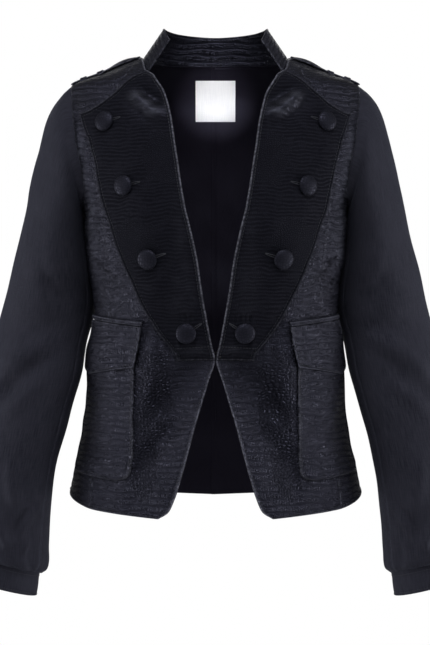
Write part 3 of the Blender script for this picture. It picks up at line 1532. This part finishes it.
class JacketColourSettings(bpy.types.PropertyGroup):
    """Colours of the jacket and of the studio floor."""
    leather: colour("Leather", "Plates of the faux leather", (0.006, 0.0062, 0.0088))
    leather_dark: colour("Dark plates", "Darker plates of the faux leather", (0.0045, 0.0047, 0.0068))
    leather_light: colour("Leather bloom", "Lighter clouds in the faux leather", (0.0085, 0.0088, 0.0125))
    groove: colour("Grooves", "Bottoms of the embossed grooves", (0.002, 0.0021, 0.003))
    scuffed: colour("Scuffs", "Faux leather that is scuffed pale by wear", (0.07, 0.073, 0.094))
    worn_edge: colour("Rubbed edge", "Rubbed edges of the faux leather", (0.2, 0.205, 0.25))
    cloth: colour("Sleeve cloth", "Light threads of the sleeves", (0.034, 0.0345, 0.047))
    cloth_dark: colour("Dark sleeve threads", "Dark threads of the sleeves", (0.013, 0.0134, 0.0195))
    lining: colour("Lining", "Light side of the satin lining", (0.0125, 0.0106, 0.0175))
    lining_dark: colour("Dark lining", "Dark side of the satin lining", (0.008, 0.0065, 0.011))
    label: colour("Label", "The bare woven label", (0.92, 0.92, 0.94))
    label_dark: colour("Label shade", "Darker threads of the label", (0.82, 0.82, 0.86))
    thread: colour("Thread", "Sewing thread", (0.045, 0.047, 0.066))
    thread_dark: colour("Dark thread", "Shaded side of the thread", (0.006, 0.007, 0.012))
    wire: colour("Wire", "Black enamelled wire", (0.012, 0.012, 0.014))
    worn_wire: colour("Rubbed wire", "Wire where the enamel is rubbed", (0.1, 0.1, 0.1))
    floor: colour("Floor", "The studio floor", (0.9, 0.9, 0.9))


class JacketStageSettings(bpy.types.PropertyGroup):
    """The camera, the floor and the lights."""
    floor_drop: length("Floor drop", "How far the floor lies under the wearer's neck", 1.43)
    camera_away: length("Camera distance", "From the side line of the jacket to the camera", 2.5)
    camera_height: length("Camera height", "How far the camera is under the neck", 0.3281)
    picture_height: length("Picture height", "How much of the side line's plane the picture shows", 0.80625)
    key_power: amount("Side light", "Watts of each of the two tall side lights", 14)
    front_power: amount("Front light", "Watts of each of the two soft lights in front", 5)
    top_power: amount("Top light", "Watts of the light overhead", 19)
    back_power: amount("Back light", "Watts of the light behind", 8)
    label_power: amount("Label light", "Watts of the narrow spot on the label", 145)
    surround: amount("Surroundings", "Brightness of the white surroundings as seen by the jacket", 0.1)


SETTINGS = {
    "jacket_cut": JacketCutSettings,
    "jacket_finish": JacketFinishSettings,
    "jacket_colours": JacketColourSettings,
    "jacket_stage": JacketStageSettings,
}


# Cut pieces.
LEATHER = "croc_leather"


class JacketOperator(bpy.types.Operator):
    """What the operators of the pieces share."""
    bl_options = {"REGISTER", "UNDO"}

    def cut(self, context, name):
        """A thickness or sewing size in millimetres."""
        return getattr(context.scene.jacket_cut, name) / MM

    def piece(self, sheet, name, nodes, material="leather", slot=LEATHER):
        return place_mesh(name, sheet.mesh(name), MATERIALS[material], nodes)

    def stitch(self, context, store, sheet, *lines, scale=1.0):
        """Sews along a sheet; a line is an edge, how far in it runs, its free ends and its face."""
        length, pitch, width = (self.cut(context, "stitch_" + size) for size in ("length", "pitch", "width"))
        for line in lines:
            add_stitches(store, sheet.line(*line), length * scale, pitch * scale, width)


class JACKET_OT_materials(JacketOperator):
    """Mixes the faux leather, cloths, thread and wire"""
    bl_idname = "jacket.materials"
    bl_label = "Materials"

    def execute(self, context):
        make_materials(context.scene.jacket_finish, context.scene.jacket_colours)
        return {"FINISHED"}


SEAM = {"dip": 0.7, "span": 3.2, "pucker": 0.22}
HEM_SEAM = {"dip": 0.4, "span": 4}


class JACKET_OT_fronts(JacketOperator):
    """Cuts the centre and side fronts, with the rolled front edge and the hem"""
    bl_idname = "jacket.fronts"
    bl_label = "Fronts"

    def execute(self, context):
        wall = self.cut(context, "leather_wall")
        for name, side in SIDES.items():
            store = new_store()
            centre = Sheet(
                body_piece(front_line("edge"), front_line("seam", -HALF)), 50, 160, wall, -wall,
                body_relief, {"start": {"stitch": 4, "roll": 1.2, "rub": 1},
                              "bottom": {"stitch": 4, "roll": 0.8, "rub": 0.3}, "end": SEAM}, side)
            outer = Sheet(
                body_piece(front_line("seam", HALF), armhole_line(FRONT, False)), 36, 160, wall, -wall,
                body_relief, {"start": SEAM, "end": {**SEAM, "rub": 0.6, "hold": 5},
                              "bottom": {"stitch": 4, "roll": 0.6, "rub": 0.3}}, side)
            front = self.piece(centre, f"centre_front_{name}", [f"front_{name}"])
            hip = self.piece(outer, f"side_panel_{name}", [f"side_front_{name}"])
            self.stitch(context, store, centre, ("start", 4, 375, 8), ("bottom", 4, 6, 0))
            self.stitch(context, store, outer, ("bottom", 4), ("start", 2.4, 372, 0))
            place_stitches(f"front_stitches_{name}", store, MATERIALS["thread"])
        return {"FINISHED"}


class JACKET_OT_backs(JacketOperator):
    """Cuts the two halves of the back"""
    bl_idname = "jacket.backs"
    bl_label = "Backs"

    def execute(self, context):
        wall = self.cut(context, "leather_wall")
        edges = {"start": SEAM, "end": {**SEAM, "dip": 0.3, "hold": 10}, "bottom": {"stitch": 4, "roll": 0.6}}
        for name, side in SIDES.items():
            store = new_store()
            back = Sheet(body_piece(back_centre(), armhole_line(BACK, True)), 60, 140, wall, -wall,
                         back_relief, edges, side)
            piece = self.piece(back, f"back_half_{name}", [f"back_{name}"])
            self.stitch(context, store, back, ("bottom", 4), ("start", 2.6, 70, 4))
            place_stitches(f"back_stitches_{name}", store, MATERIALS["thread"])
        return {"FINISHED"}


LINING_PLEAT = {"stitch": 7, "roll": 0.6}
LINING_DROP = 0.6
PLEAT_LAP = 5.0
PLEAT_GAP = 0.2


class JACKET_OT_lining(JacketOperator):
    """Cuts the satin lining of the back and the bare woven label"""
    bl_idname = "jacket.lining"
    bl_label = "Lining and Label"

    def execute(self, context):
        leather, wall = self.cut(context, "leather_wall"), self.cut(context, "lining_wall")
        lift = -leather - LAYER_GAP - wall
        for name, side in SIDES.items():
            over = side > 0
            centre = back_centre(LINING_DROP, PLEAT_LAP if over else 0.0)
            lining = Sheet(body_piece(centre, armhole_line(BACK, True)), 40, 96, wall,
                           lift - (wall + PLEAT_GAP if over else 0), back_relief,
                           {"start": LINING_PLEAT if over else SEAM, "end": {**HEM_SEAM, "hold": 10}}, side)
            piece = self.piece(lining, f"lining_half_{name}", [f"back_lining_{name}"],
                               "lining", "lining_satin")
        thin = self.cut(context, "label_wall")
        label = Sheet(label_surface, 24, 24, thin, lift - LABEL_GAP - thin)
        piece = self.piece(label, "neck_label", ["label"], "label", "label_cloth")
        store = new_store()
        for edge in ("top", "bottom"):
            self.stitch(context, store, label, (edge, 1.6, 2, 2, "inner"), scale=0.6)
        place_stitches("label_stitches", store, MATERIALS["label"])
        return {"FINISHED"}


class JACKET_OT_plastrons(JacketOperator):
    """Cuts the buttoned overlay of each front, with its topstitching and buttonholes"""
    bl_idname = "jacket.plastrons"
    bl_label = "Buttoned Overlays"

    def execute(self, context):
        wall = self.cut(context, "leather_wall")
        edges = {
            "top": {"stitch": 4.6, "roll": 1.2, "rub": 0.35}, "start": {"stitch": 4.6, "roll": 1.3, "rub": 1},
            "end": {"stitch": 4.6, "roll": 1.2, "rub": 0.35, "raw": 1},
            "bottom": {"dip": 0.5, "span": 6, "pucker": 0.9, "rub": 0.5, "raw": 1},
        }
        for name, side in SIDES.items():
            store = new_store()
            overlay = Sheet(plastron_surface(), 60, 150, wall, OVERLAY_GAP, body_relief, edges, side)
            piece = self.piece(overlay, f"overlay_{name}", [f"plastron_{name}"], "overlay")
            self.stitch(context, store, overlay, ("start", 4.6, 5, 2), ("end", 4.6, 5, 0),
                        ("top", 4.6, 5, 5), ("bottom", 17, 1, 5))
            place_stitches(f"overlay_stitches_{name}", store, MATERIALS["thread"])
            holes = new_store()
            for row in zip(*BUTTONS.values()):
                add_buttonhole(holes, row, side, wall + OVERLAY_GAP)
            mesh = bpy.data.meshes.new("buttonholes")
            mesh.from_pydata((np.array(holes["points"]) * MM).tolist(), [], holes["faces"])
            place_mesh(f"buttonholes_{name}", mesh, MATERIALS["thread"], smooth=THREAD_SMOOTH)
        return {"FINISHED"}


# A worked buttonhole's slit, its cord, and the turns of thread round it, thick and thin by turns.
HOLE_HALF_WIDTH = 1.1
HOLE_LIFT = 0.2
HOLE_CORD = 0.55
HOLE_STEPS = 56
HOLE_SIDES = 8


def add_buttonhole(store, row, side, lift):
    """A worked buttonhole: a closed ring of close thread round a narrow slit, under its button."""
    x, z, _, slant, reach = row
    straight = np.array([-math.cos(math.radians(slant)), math.sin(math.radians(slant))])
    across = np.array([-straight[1], straight[0]])
    turns = np.linspace(0, 2 * math.pi, HOLE_STEPS, endpoint=False)
    run = (reach + 2) / 2
    flat = [straight * (run - 2 + run * math.cos(turn)) + across * HOLE_HALF_WIDTH * math.sin(turn)
            for turn in turns]
    flat = np.array(flat) + (x, z)
    angle = angle_across(flat[:, 0], flat[:, 1])
    points, normals = body_point(angle, flat[:, 1]), body_normal(angle, flat[:, 1])
    relief = body_relief(points[None], normals[None], side)[0]
    points = points + normals * (lift + relief + HOLE_LIFT)[:, None]
    sideways = np.cross(unit(np.roll(points, -1, axis=0) - np.roll(points, 1, axis=0)), normals)
    base = len(store["points"])
    mirror = np.array((side, 1, 1))
    for step in range(HOLE_STEPS):
        size = HOLE_CORD * (1.12 if step % 2 else 0.9)
        for corner in range(HOLE_SIDES):
            turn = 2 * math.pi * corner / HOLE_SIDES
            offset = sideways[step] * math.cos(turn) + normals[step] * math.sin(turn) * 0.8
            store["points"].append((points[step] + offset * size) * mirror)
    for step in range(HOLE_STEPS):
        low, high = base + step * HOLE_SIDES, base + (step + 1) % HOLE_STEPS * HOLE_SIDES
        for corner in range(HOLE_SIDES):
            following = (corner + 1) % HOLE_SIDES
            face = (low + corner, high + corner, high + following, low + following)
            store["faces"].append(face if side > 0 else tuple(reversed(face)))


class JACKET_OT_pockets(JacketOperator):
    """Cuts the patch pockets, their flaps and the welts above them"""
    bl_idname = "jacket.pockets"
    bl_label = "Pockets"

    def execute(self, context):
        wall = self.cut(context, "leather_wall")
        on_pocket = wall + POCKET_GAP + FLAP_GAP
        stitched = {"stitch": 4.4, "roll": 0.9, "rub": 0.3}
        hanging = {"stitch": 4.4, "roll": 1.0, "rub": 0.5, "raw": 1}
        ridged = {"stitch": 4.4, "roll": 1.0, "rub": 0.5}
        sewn = {"stitch": 4.4, "roll": 0.9, "sink": 1.0, "rub": 0.2}
        for name, side in SIDES.items():
            store = new_store()
            patch = Sheet(by_angle(POCKET), 44, 76, wall, POCKET_GAP, body_relief,
                          {"start": ridged, "bottom": sewn, "end": sewn}, side)
            flap = Sheet(by_angle(FLAP), 44, 34, wall, on_pocket, body_relief,
                         {"start": stitched, "bottom": hanging, "end": stitched}, side)
            welt = Sheet(by_angle(WELT), 44, 10, wall + OVERLAY_GAP + WELT_LIFT - WELT_GAP, WELT_GAP,
                         welt_relief, {"top": {"raw": 1, "rub": 0.7}, "bottom": {"raw": 1, "rub": 0.4}}, side)
            pocket = self.piece(patch, f"patch_pocket_{name}", [f"pocket_{name}"])
            cover = self.piece(flap, f"pocket_flap_{name}", [f"flap_{name}"])
            roll = self.piece(welt, f"pocket_welt_{name}", [f"welt_{name}"])
            for sheet in (patch, flap):
                self.stitch(context, store, sheet, ("start", 4.4, 2, 4), ("end", 4.4, 2, 4),
                            ("bottom", 4.4, 4, 4))
            self.stitch(context, store, patch, ("start", 1.6, 2, 2))
            place_stitches(f"pocket_stitches_{name}", store, MATERIALS["thread"])
        return {"FINISHED"}


class JACKET_OT_sleeves(JacketOperator):
    """Cuts the two-piece sleeves and the cuff bands"""
    bl_idname = "jacket.sleeves"
    bl_label = "Sleeves and Cuffs"

    def execute(self, context):
        wall = self.cut(context, "sleeve_wall")
        seam = {"dip": 0.6, "span": 3, "pucker": 0.2, "pucker_size": 14, "rub": 0.55}
        top_seam = {"dip": 0.2, "span": 4, "pucker": 0.2, "pucker_size": 12, "hold": 9}
        edges = {"start": seam, "end": seam, "top": top_seam, "bottom": {"dip": 0.8, "span": 4, "rub": 0.5}}
        around = {"top": {"dip": 0.3, "span": 2}, "bottom": {"stitch": 3.4, "roll": 0.4}}
        from_turn = BACK_SLEEVE_SEAM - 360 + SLEEVE_SEAM_TURN
        band = self.cut(context, "cuff_wall")
        cloth = ("sleeve", "sleeve_cloth")
        for name, side in SIDES.items():
            store = new_store()
            top = Sheet(sleeve_surface(from_turn, FRONT_SLEEVE_SEAM - SLEEVE_SEAM_TURN), 90, 150, wall, -wall,
                        sleeve_relief, edges, side)
            under = Sheet(sleeve_surface(FRONT_SLEEVE_SEAM, BACK_SLEEVE_SEAM), 30, 140, wall, -wall,
                          sleeve_relief, edges, side)
            cuff = Sheet(cuff_surface, 96, 10, band, -band, None, around, side, ring=True)
            upper = self.piece(top, f"sleeve_top_{name}", [f"top_sleeve_{name}"], *cloth)
            lower = self.piece(under, f"sleeve_under_{name}", [f"under_sleeve_{name}"], *cloth)
            wrist = self.piece(cuff, f"cuff_band_{name}", [f"cuff_{name}"], *cloth)
            self.stitch(context, store, cuff, ("top", 6.4), ("bottom", 3.4), scale=0.8)
            place_stitches(f"cuff_stitches_{name}", store, MATERIALS["thread"])
        return {"FINISHED"}


class JACKET_OT_collar(JacketOperator):
    """Cuts the stand collar"""
    bl_idname = "jacket.collar"
    bl_label = "Stand Collar"

    def execute(self, context):
        wall = self.cut(context, "leather_wall")
        edge = {"stitch": 4, "roll": 0.5}
        collar = Sheet(collar_surface, 150, 16, wall, -wall / 2, None,
                       {"bottom": edge, "start": edge, "end": edge})
        piece = self.piece(collar, "stand_collar", ["collar"])
        store = new_store()
        for face in ("outer", "inner"):
            for name in ("bottom", "start", "end"):
                self.stitch(context, store, collar, (name, 4, 3, 3, face))
        place_stitches("collar_stitches", store, MATERIALS["thread"])
        return {"FINISHED"}


class JACKET_OT_straps(JacketOperator):
    """Cuts the shoulder straps and the carriers that hold them"""
    bl_idname = "jacket.straps"
    bl_label = "Shoulder Straps"

    def execute(self, context):
        edges = dict.fromkeys(("start", "end", "top", "bottom"), {"stitch": 3.6, "roll": 0.4})
        for name, side in SIDES.items():
            store = new_store()
            strap = Sheet(strap_surface, 22, 46, STRAP["wall"], STRAP["lift"], None, edges, side)
            piece = self.piece(strap, f"strap_{name}", [f"shoulder_strap_{name}"])
            self.stitch(context, store, strap, *((edge, 3.6, 4, 4) for edge in ("start", "end", "top")))
            for at, middle_x in enumerate(CARRIER_PLACES, 1):
                loop = Sheet(carrier_surface(middle_x), 4, 40, CARRIER["wall"], 0, None, None, side)
                self.piece(loop, f"carrier_{name}_{at}", [f"strap_carrier_{name}_{at}"])
                self.stitch(context, store, loop, ("start", 1.6, 3, 3), ("end", 1.6, 3, 3), scale=0.8)
            place_stitches(f"strap_stitches_{name}", store, MATERIALS["thread"])
        return {"FINISHED"}


# Hard pieces, modelled by hand with Blender's own tools.
def select_faces(mesh, test):
    """In object mode, selects just the faces whose middle and normal pass a test."""
    for group in (mesh.vertices, mesh.edges, mesh.polygons):
        for element in group:
            element.select = False
    for polygon in mesh.polygons:
        polygon.select = bool(test(polygon.center, polygon.normal))


def edit(mesh, test, steps):
    """Runs edit-mode steps on the faces that pass a test."""
    bpy.ops.object.mode_set(mode="OBJECT")
    select_faces(mesh, test)
    bpy.ops.object.mode_set(mode="EDIT")
    bpy.ops.mesh.select_mode(type="FACE")
    for step in steps:
        step()
    bpy.ops.object.mode_set(mode="OBJECT")


def raise_by(height):
    return lambda: bpy.ops.transform.translate(value=(0, 0, height))


def inset_by(thickness):
    return lambda: bpy.ops.mesh.inset(thickness=thickness, depth=0)


def widen_by(share):
    return lambda: bpy.ops.transform.resize(value=(share, share, 1))


def grow_by(height):
    return lambda: bpy.ops.mesh.extrude_region_move(TRANSFORM_OT_translate={"value": (0, 0, height)})


# The rings of a button's dome, as shares of its radius.
DOME_RINGS = (0.95, 0.82, 0.64, 0.42, 0.2)


def model_button(cut):
    """A covered button lying on its back at the origin, domed, with a tucked rim."""
    radius, rim, height = cut.button_radius, cut.button_rim, cut.button_height
    bpy.ops.object.select_all(action="DESELECT")
    bpy.ops.mesh.primitive_cylinder_add(vertices=40, radius=radius * 0.9, depth=rim * 0.4,
                                        location=(0, 0, rim * 0.2))
    button = bpy.context.object
    bpy.ops.object.transform_apply(location=True, rotation=True, scale=True)
    mesh = button.data

    edit(mesh, lambda centre, normal: normal.z > 0.9 and centre.z > rim * 0.3,
         [grow_by(rim * 0.3), widen_by(1 / 0.9), grow_by(rim * 0.35)])
    levels = []
    reached = 1.0
    lifted = rim * 1.05
    for share in DOME_RINGS:
        rise = rim + (height - rim) * math.sqrt(1 - share * share)
        levels.append(inset_by(radius * (reached - share)))
        levels.append(raise_by(rise - lifted))
        reached, lifted = share, rise
    edit(mesh, lambda centre, normal: normal.z > 0.9 and centre.z > rim, levels)
    edit(mesh, lambda centre, normal: normal.z < -0.9,
         [inset_by(radius * 0.12), raise_by(rim * 0.25), inset_by(radius * 0.1)])
    smooth = button.modifiers.new("round", "SUBSURF")
    smooth.levels = smooth.render_levels = 1
    bpy.ops.object.modifier_apply(modifier="round")
    return button


class JACKET_OT_buttons(JacketOperator):
    """Models one covered button and sews a copy at each place"""
    bl_idname = "jacket.buttons"
    bl_label = "Covered Buttons"

    def execute(self, context):
        model = model_button(context.scene.jacket_cut)
        for name, side in SIDES.items():
            for at, row in enumerate(zip(*BUTTONS.values()), 1):
                x, z, lift = row[:3]
                angle = angle_across(np.array([x]), np.array([z]))
                foot, outward = body_point(angle, np.array([z])), body_normal(angle, np.array([z]))
                relief = body_relief(foot[None], outward[None], side)[0, 0]
                spot = (foot + outward * (lift + max(relief, 0)))[0] * (side, 1, 1)
                facing = Vector(outward[0] * (side, 1, 1))
                turn = Vector((0, 0, 1)).rotation_difference(facing).to_matrix().to_4x4()
                mesh = model.data.copy()
                spun = turn @ Matrix.Rotation(0.7 * at, 4, "Z")
                mesh.transform(Matrix.Translation(Vector(spot * MM)) @ spun)
                place_mesh(f"covered_button_{name}_{at}", mesh, MATERIALS["covered"],
                           [f"button_{name}_{at}"], smooth=60)
        bpy.data.objects.remove(model)
        return {"FINISHED"}


def bend_wire(points, radius):
    """A round wire: a small circle is extruded from point to point and capped."""
    bpy.ops.object.select_all(action="DESELECT")
    start, following = Vector(points[0]), Vector(points[1])
    turn = Vector((0, 0, 1)).rotation_difference(following - start).to_euler()
    bpy.ops.mesh.primitive_circle_add(vertices=8, radius=radius, fill_type="NGON",
                                      location=start, rotation=turn)
    wire = bpy.context.object
    bpy.ops.object.transform_apply(location=True, rotation=True, scale=True)
    bpy.ops.object.mode_set(mode="EDIT")
    bpy.ops.mesh.select_all(action="SELECT")
    for here, there in zip(points[:-1], points[1:]):
        bpy.ops.mesh.extrude_region_move(TRANSFORM_OT_translate={"value": Vector(there) - Vector(here)})
    bpy.ops.mesh.select_all(action="SELECT")
    bpy.ops.mesh.normals_make_consistent(inside=False)
    bpy.ops.object.mode_set(mode="OBJECT")
    return wire


WIRE_STEPS = 26


def closure_points(side, tip, lap, width, wall):
    """The line of the hook or of its eye, a rounded loop behind the front edge."""
    behind = -(wall + LAYER_GAP + HOOK["wire"])
    root, height = float(HOOK["root"]), np.array([float(HOOK["z"])])
    angle = angle_across(np.array([root]), height)
    depth = (body_point(angle, height) + body_normal(angle, height) * behind)[0, 1]
    neck, bent = root * 0.55, width * 0.6
    knots = np.array([
        (root, 0, width), (neck, 0, width), (-tip, lap, bent),
        (-tip, lap, -bent), (neck, 0, -width), (root, 0, -width),
    ])
    line = curve_at(np.arange(6.0), knots, np.linspace(0, 5, WIRE_STEPS), level=False)
    return [((side * x) * MM, (depth + y) * MM, (HOOK["z"] + z) * MM) for x, y, z in line]


class JACKET_OT_closure(JacketOperator):
    """Bends the hook and the eye behind the front edges"""
    bl_idname = "jacket.closure"
    bl_label = "Hook and Eye"

    def execute(self, context):
        wall = self.cut(context, "leather_wall")
        loops = {
            "closure_hook": ("front_hook", closure_points(-1, HOOK["tip"], HOOK["lap"], HOOK["width"], wall)),
            "closure_eye": ("front_eye", closure_points(1, -HOOK["eye_tip"], 0, HOOK["width"] * 1.6, wall)),
        }
        for name, (node, points) in loops.items():
            wire = bend_wire(points, HOOK["wire"] * MM)
            mesh = wire.data.copy()
            bpy.data.objects.remove(wire)
            place_mesh(name, mesh, MATERIALS["wire"], [node], smooth=60)
        return {"FINISHED"}


# The studio.
SENSOR = 36.0
SEEN_CENTRE_X = -0.0006
LIT_MIDDLE = (0, 0, -0.35)
LABEL_SPOT = {"spot": (0, -1.9, -0.5), "aim": (0, 0.085, -0.04), "degrees": 2.45, "blend": 0.3, "size": 0.02}


class JACKET_OT_stage(JacketOperator):
    """Sets the floor, the lights and the camera"""
    bl_idname = "jacket.stage"
    bl_label = "Studio"

    def execute(self, context):
        stage = context.scene.jacket_stage
        self.lay_floor(context.scene, stage)
        self.set_lights(stage)
        self.set_camera(context.scene, stage)
        self.set_surroundings(context.scene, stage)
        return {"FINISHED"}

    def lay_floor(self, scene, stage):
        bpy.ops.object.select_all(action="DESELECT")
        bpy.ops.mesh.primitive_grid_add(x_subdivisions=8, y_subdivisions=8, size=6,
                                        location=(0, 0, -stage.floor_drop))
        floor = bpy.context.object
        floor.name = "studio_floor"
        floor.data.materials.append(floor_material(scene.jacket_colours))

    def set_lights(self, stage):
        places = {
            "side_light_left": ((-1.7, -0.1, -0.62), 0.8, 1.4, stage.key_power),
            "side_light_right": ((1.7, -0.1, -0.62), 0.8, 1.4, stage.key_power),
            "front_light_left": ((-2.2, -2.4, 0.5), 1.0, 1.6, stage.front_power),
            "front_light_right": ((2.2, -2.4, 0.5), 1.0, 1.6, stage.front_power),
            "top_light": ((0, -1.1, 1.25), 1.6, 1.0, stage.top_power),
            "back_light": ((0, 2.4, 0.3), 2.0, 1.6, stage.back_power),
        }
        for name, (spot, width, height, power) in places.items():
            lamp = bpy.data.lights.new(name, "AREA")
            lamp.shape = "RECTANGLE"
            lamp.size, lamp.size_y = width, height
            self.hang_light(lamp, power, spot, LIT_MIDDLE)
        self.light_the_label(stage)

    def hang_light(self, lamp, power, spot, aim):
        lamp.energy = power
        light = bpy.data.objects.new(lamp.name, lamp)
        light.location = spot
        light.rotation_euler = (Vector(aim) - Vector(spot)).to_track_quat("-Z", "Y").to_euler()
        bpy.context.scene.collection.objects.link(light)

    def light_the_label(self, stage):
        """A narrow spot through the open neck, as the label is bright in the shade of the collar."""
        lamp = bpy.data.lights.new("label_light", "SPOT")
        lamp.spot_size = math.radians(LABEL_SPOT["degrees"])
        lamp.spot_blend = LABEL_SPOT["blend"]
        lamp.shadow_soft_size = LABEL_SPOT["size"]
        self.hang_light(lamp, stage.label_power, LABEL_SPOT["spot"], LABEL_SPOT["aim"])

    def set_camera(self, scene, stage):
        lens = bpy.data.cameras.new("camera")
        lens.sensor_width = SENSOR
        lens.lens = SENSOR * stage.camera_away / stage.picture_height
        camera = bpy.data.objects.new("camera", lens)
        camera.location = (SEEN_CENTRE_X, -stage.camera_away, -stage.camera_height)
        camera.rotation_euler = (math.radians(90), 0, 0)
        scene.collection.objects.link(camera)
        scene.camera = camera

    def set_surroundings(self, scene, stage):
        world = bpy.data.worlds.new("white_studio")
        world.use_nodes = True
        nodes = Nodes(world.node_tree)
        seen = nodes.add("ShaderNodeLightPath").outputs["Is Camera Ray"]
        strength = nodes.math("MULTIPLY_ADD", seen, 1.0 - stage.surround, stage.surround)
        background = world.node_tree.nodes["Background"]
        nodes.feed(background.inputs["Color"], (1, 1, 1, 1))
        nodes.feed(background.inputs["Strength"], strength)
        scene.world = world
        scene.view_settings.view_transform = "Standard"


OPERATORS = (
    JACKET_OT_materials,
    JACKET_OT_fronts,
    JACKET_OT_backs,
    JACKET_OT_lining,
    JACKET_OT_plastrons,
    JACKET_OT_pockets,
    JACKET_OT_sleeves,
    JACKET_OT_collar,
    JACKET_OT_straps,
    JACKET_OT_buttons,
    JACKET_OT_closure,
    JACKET_OT_stage,
)


class JACKET_PT_maker(bpy.types.Panel):
    """Lists the settings and the pieces of the jacket"""
    bl_label = "Cropped Jacket"
    bl_idname = "JACKET_PT_maker"
    bl_space_type = "VIEW_3D"
    bl_region_type = "UI"
    bl_category = "Jacket"

    def draw(self, context):
        for name, settings in SETTINGS.items():
            box = self.layout.box()
            for setting in settings.__annotations__:
                box.prop(getattr(context.scene, name), setting)
        for operator in OPERATORS:
            self.layout.operator(operator.bl_idname)


def register():
    for kind in (*SETTINGS.values(), *OPERATORS, JACKET_PT_maker):
        bpy.utils.register_class(kind)
    for name, settings in SETTINGS.items():
        setattr(bpy.types.Scene, name, bpy.props.PointerProperty(type=settings))


def unregister():
    for name in SETTINGS:
        delattr(bpy.types.Scene, name)
    for kind in reversed((*SETTINGS.values(), *OPERATORS, JACKET_PT_maker)):
        bpy.utils.unregister_class(kind)


def main():
    register()
    for operator in OPERATORS:
        group, name = operator.bl_idname.split(".")
        getattr(getattr(bpy.ops, group), name)()


if __name__ == "__main__":
    main()
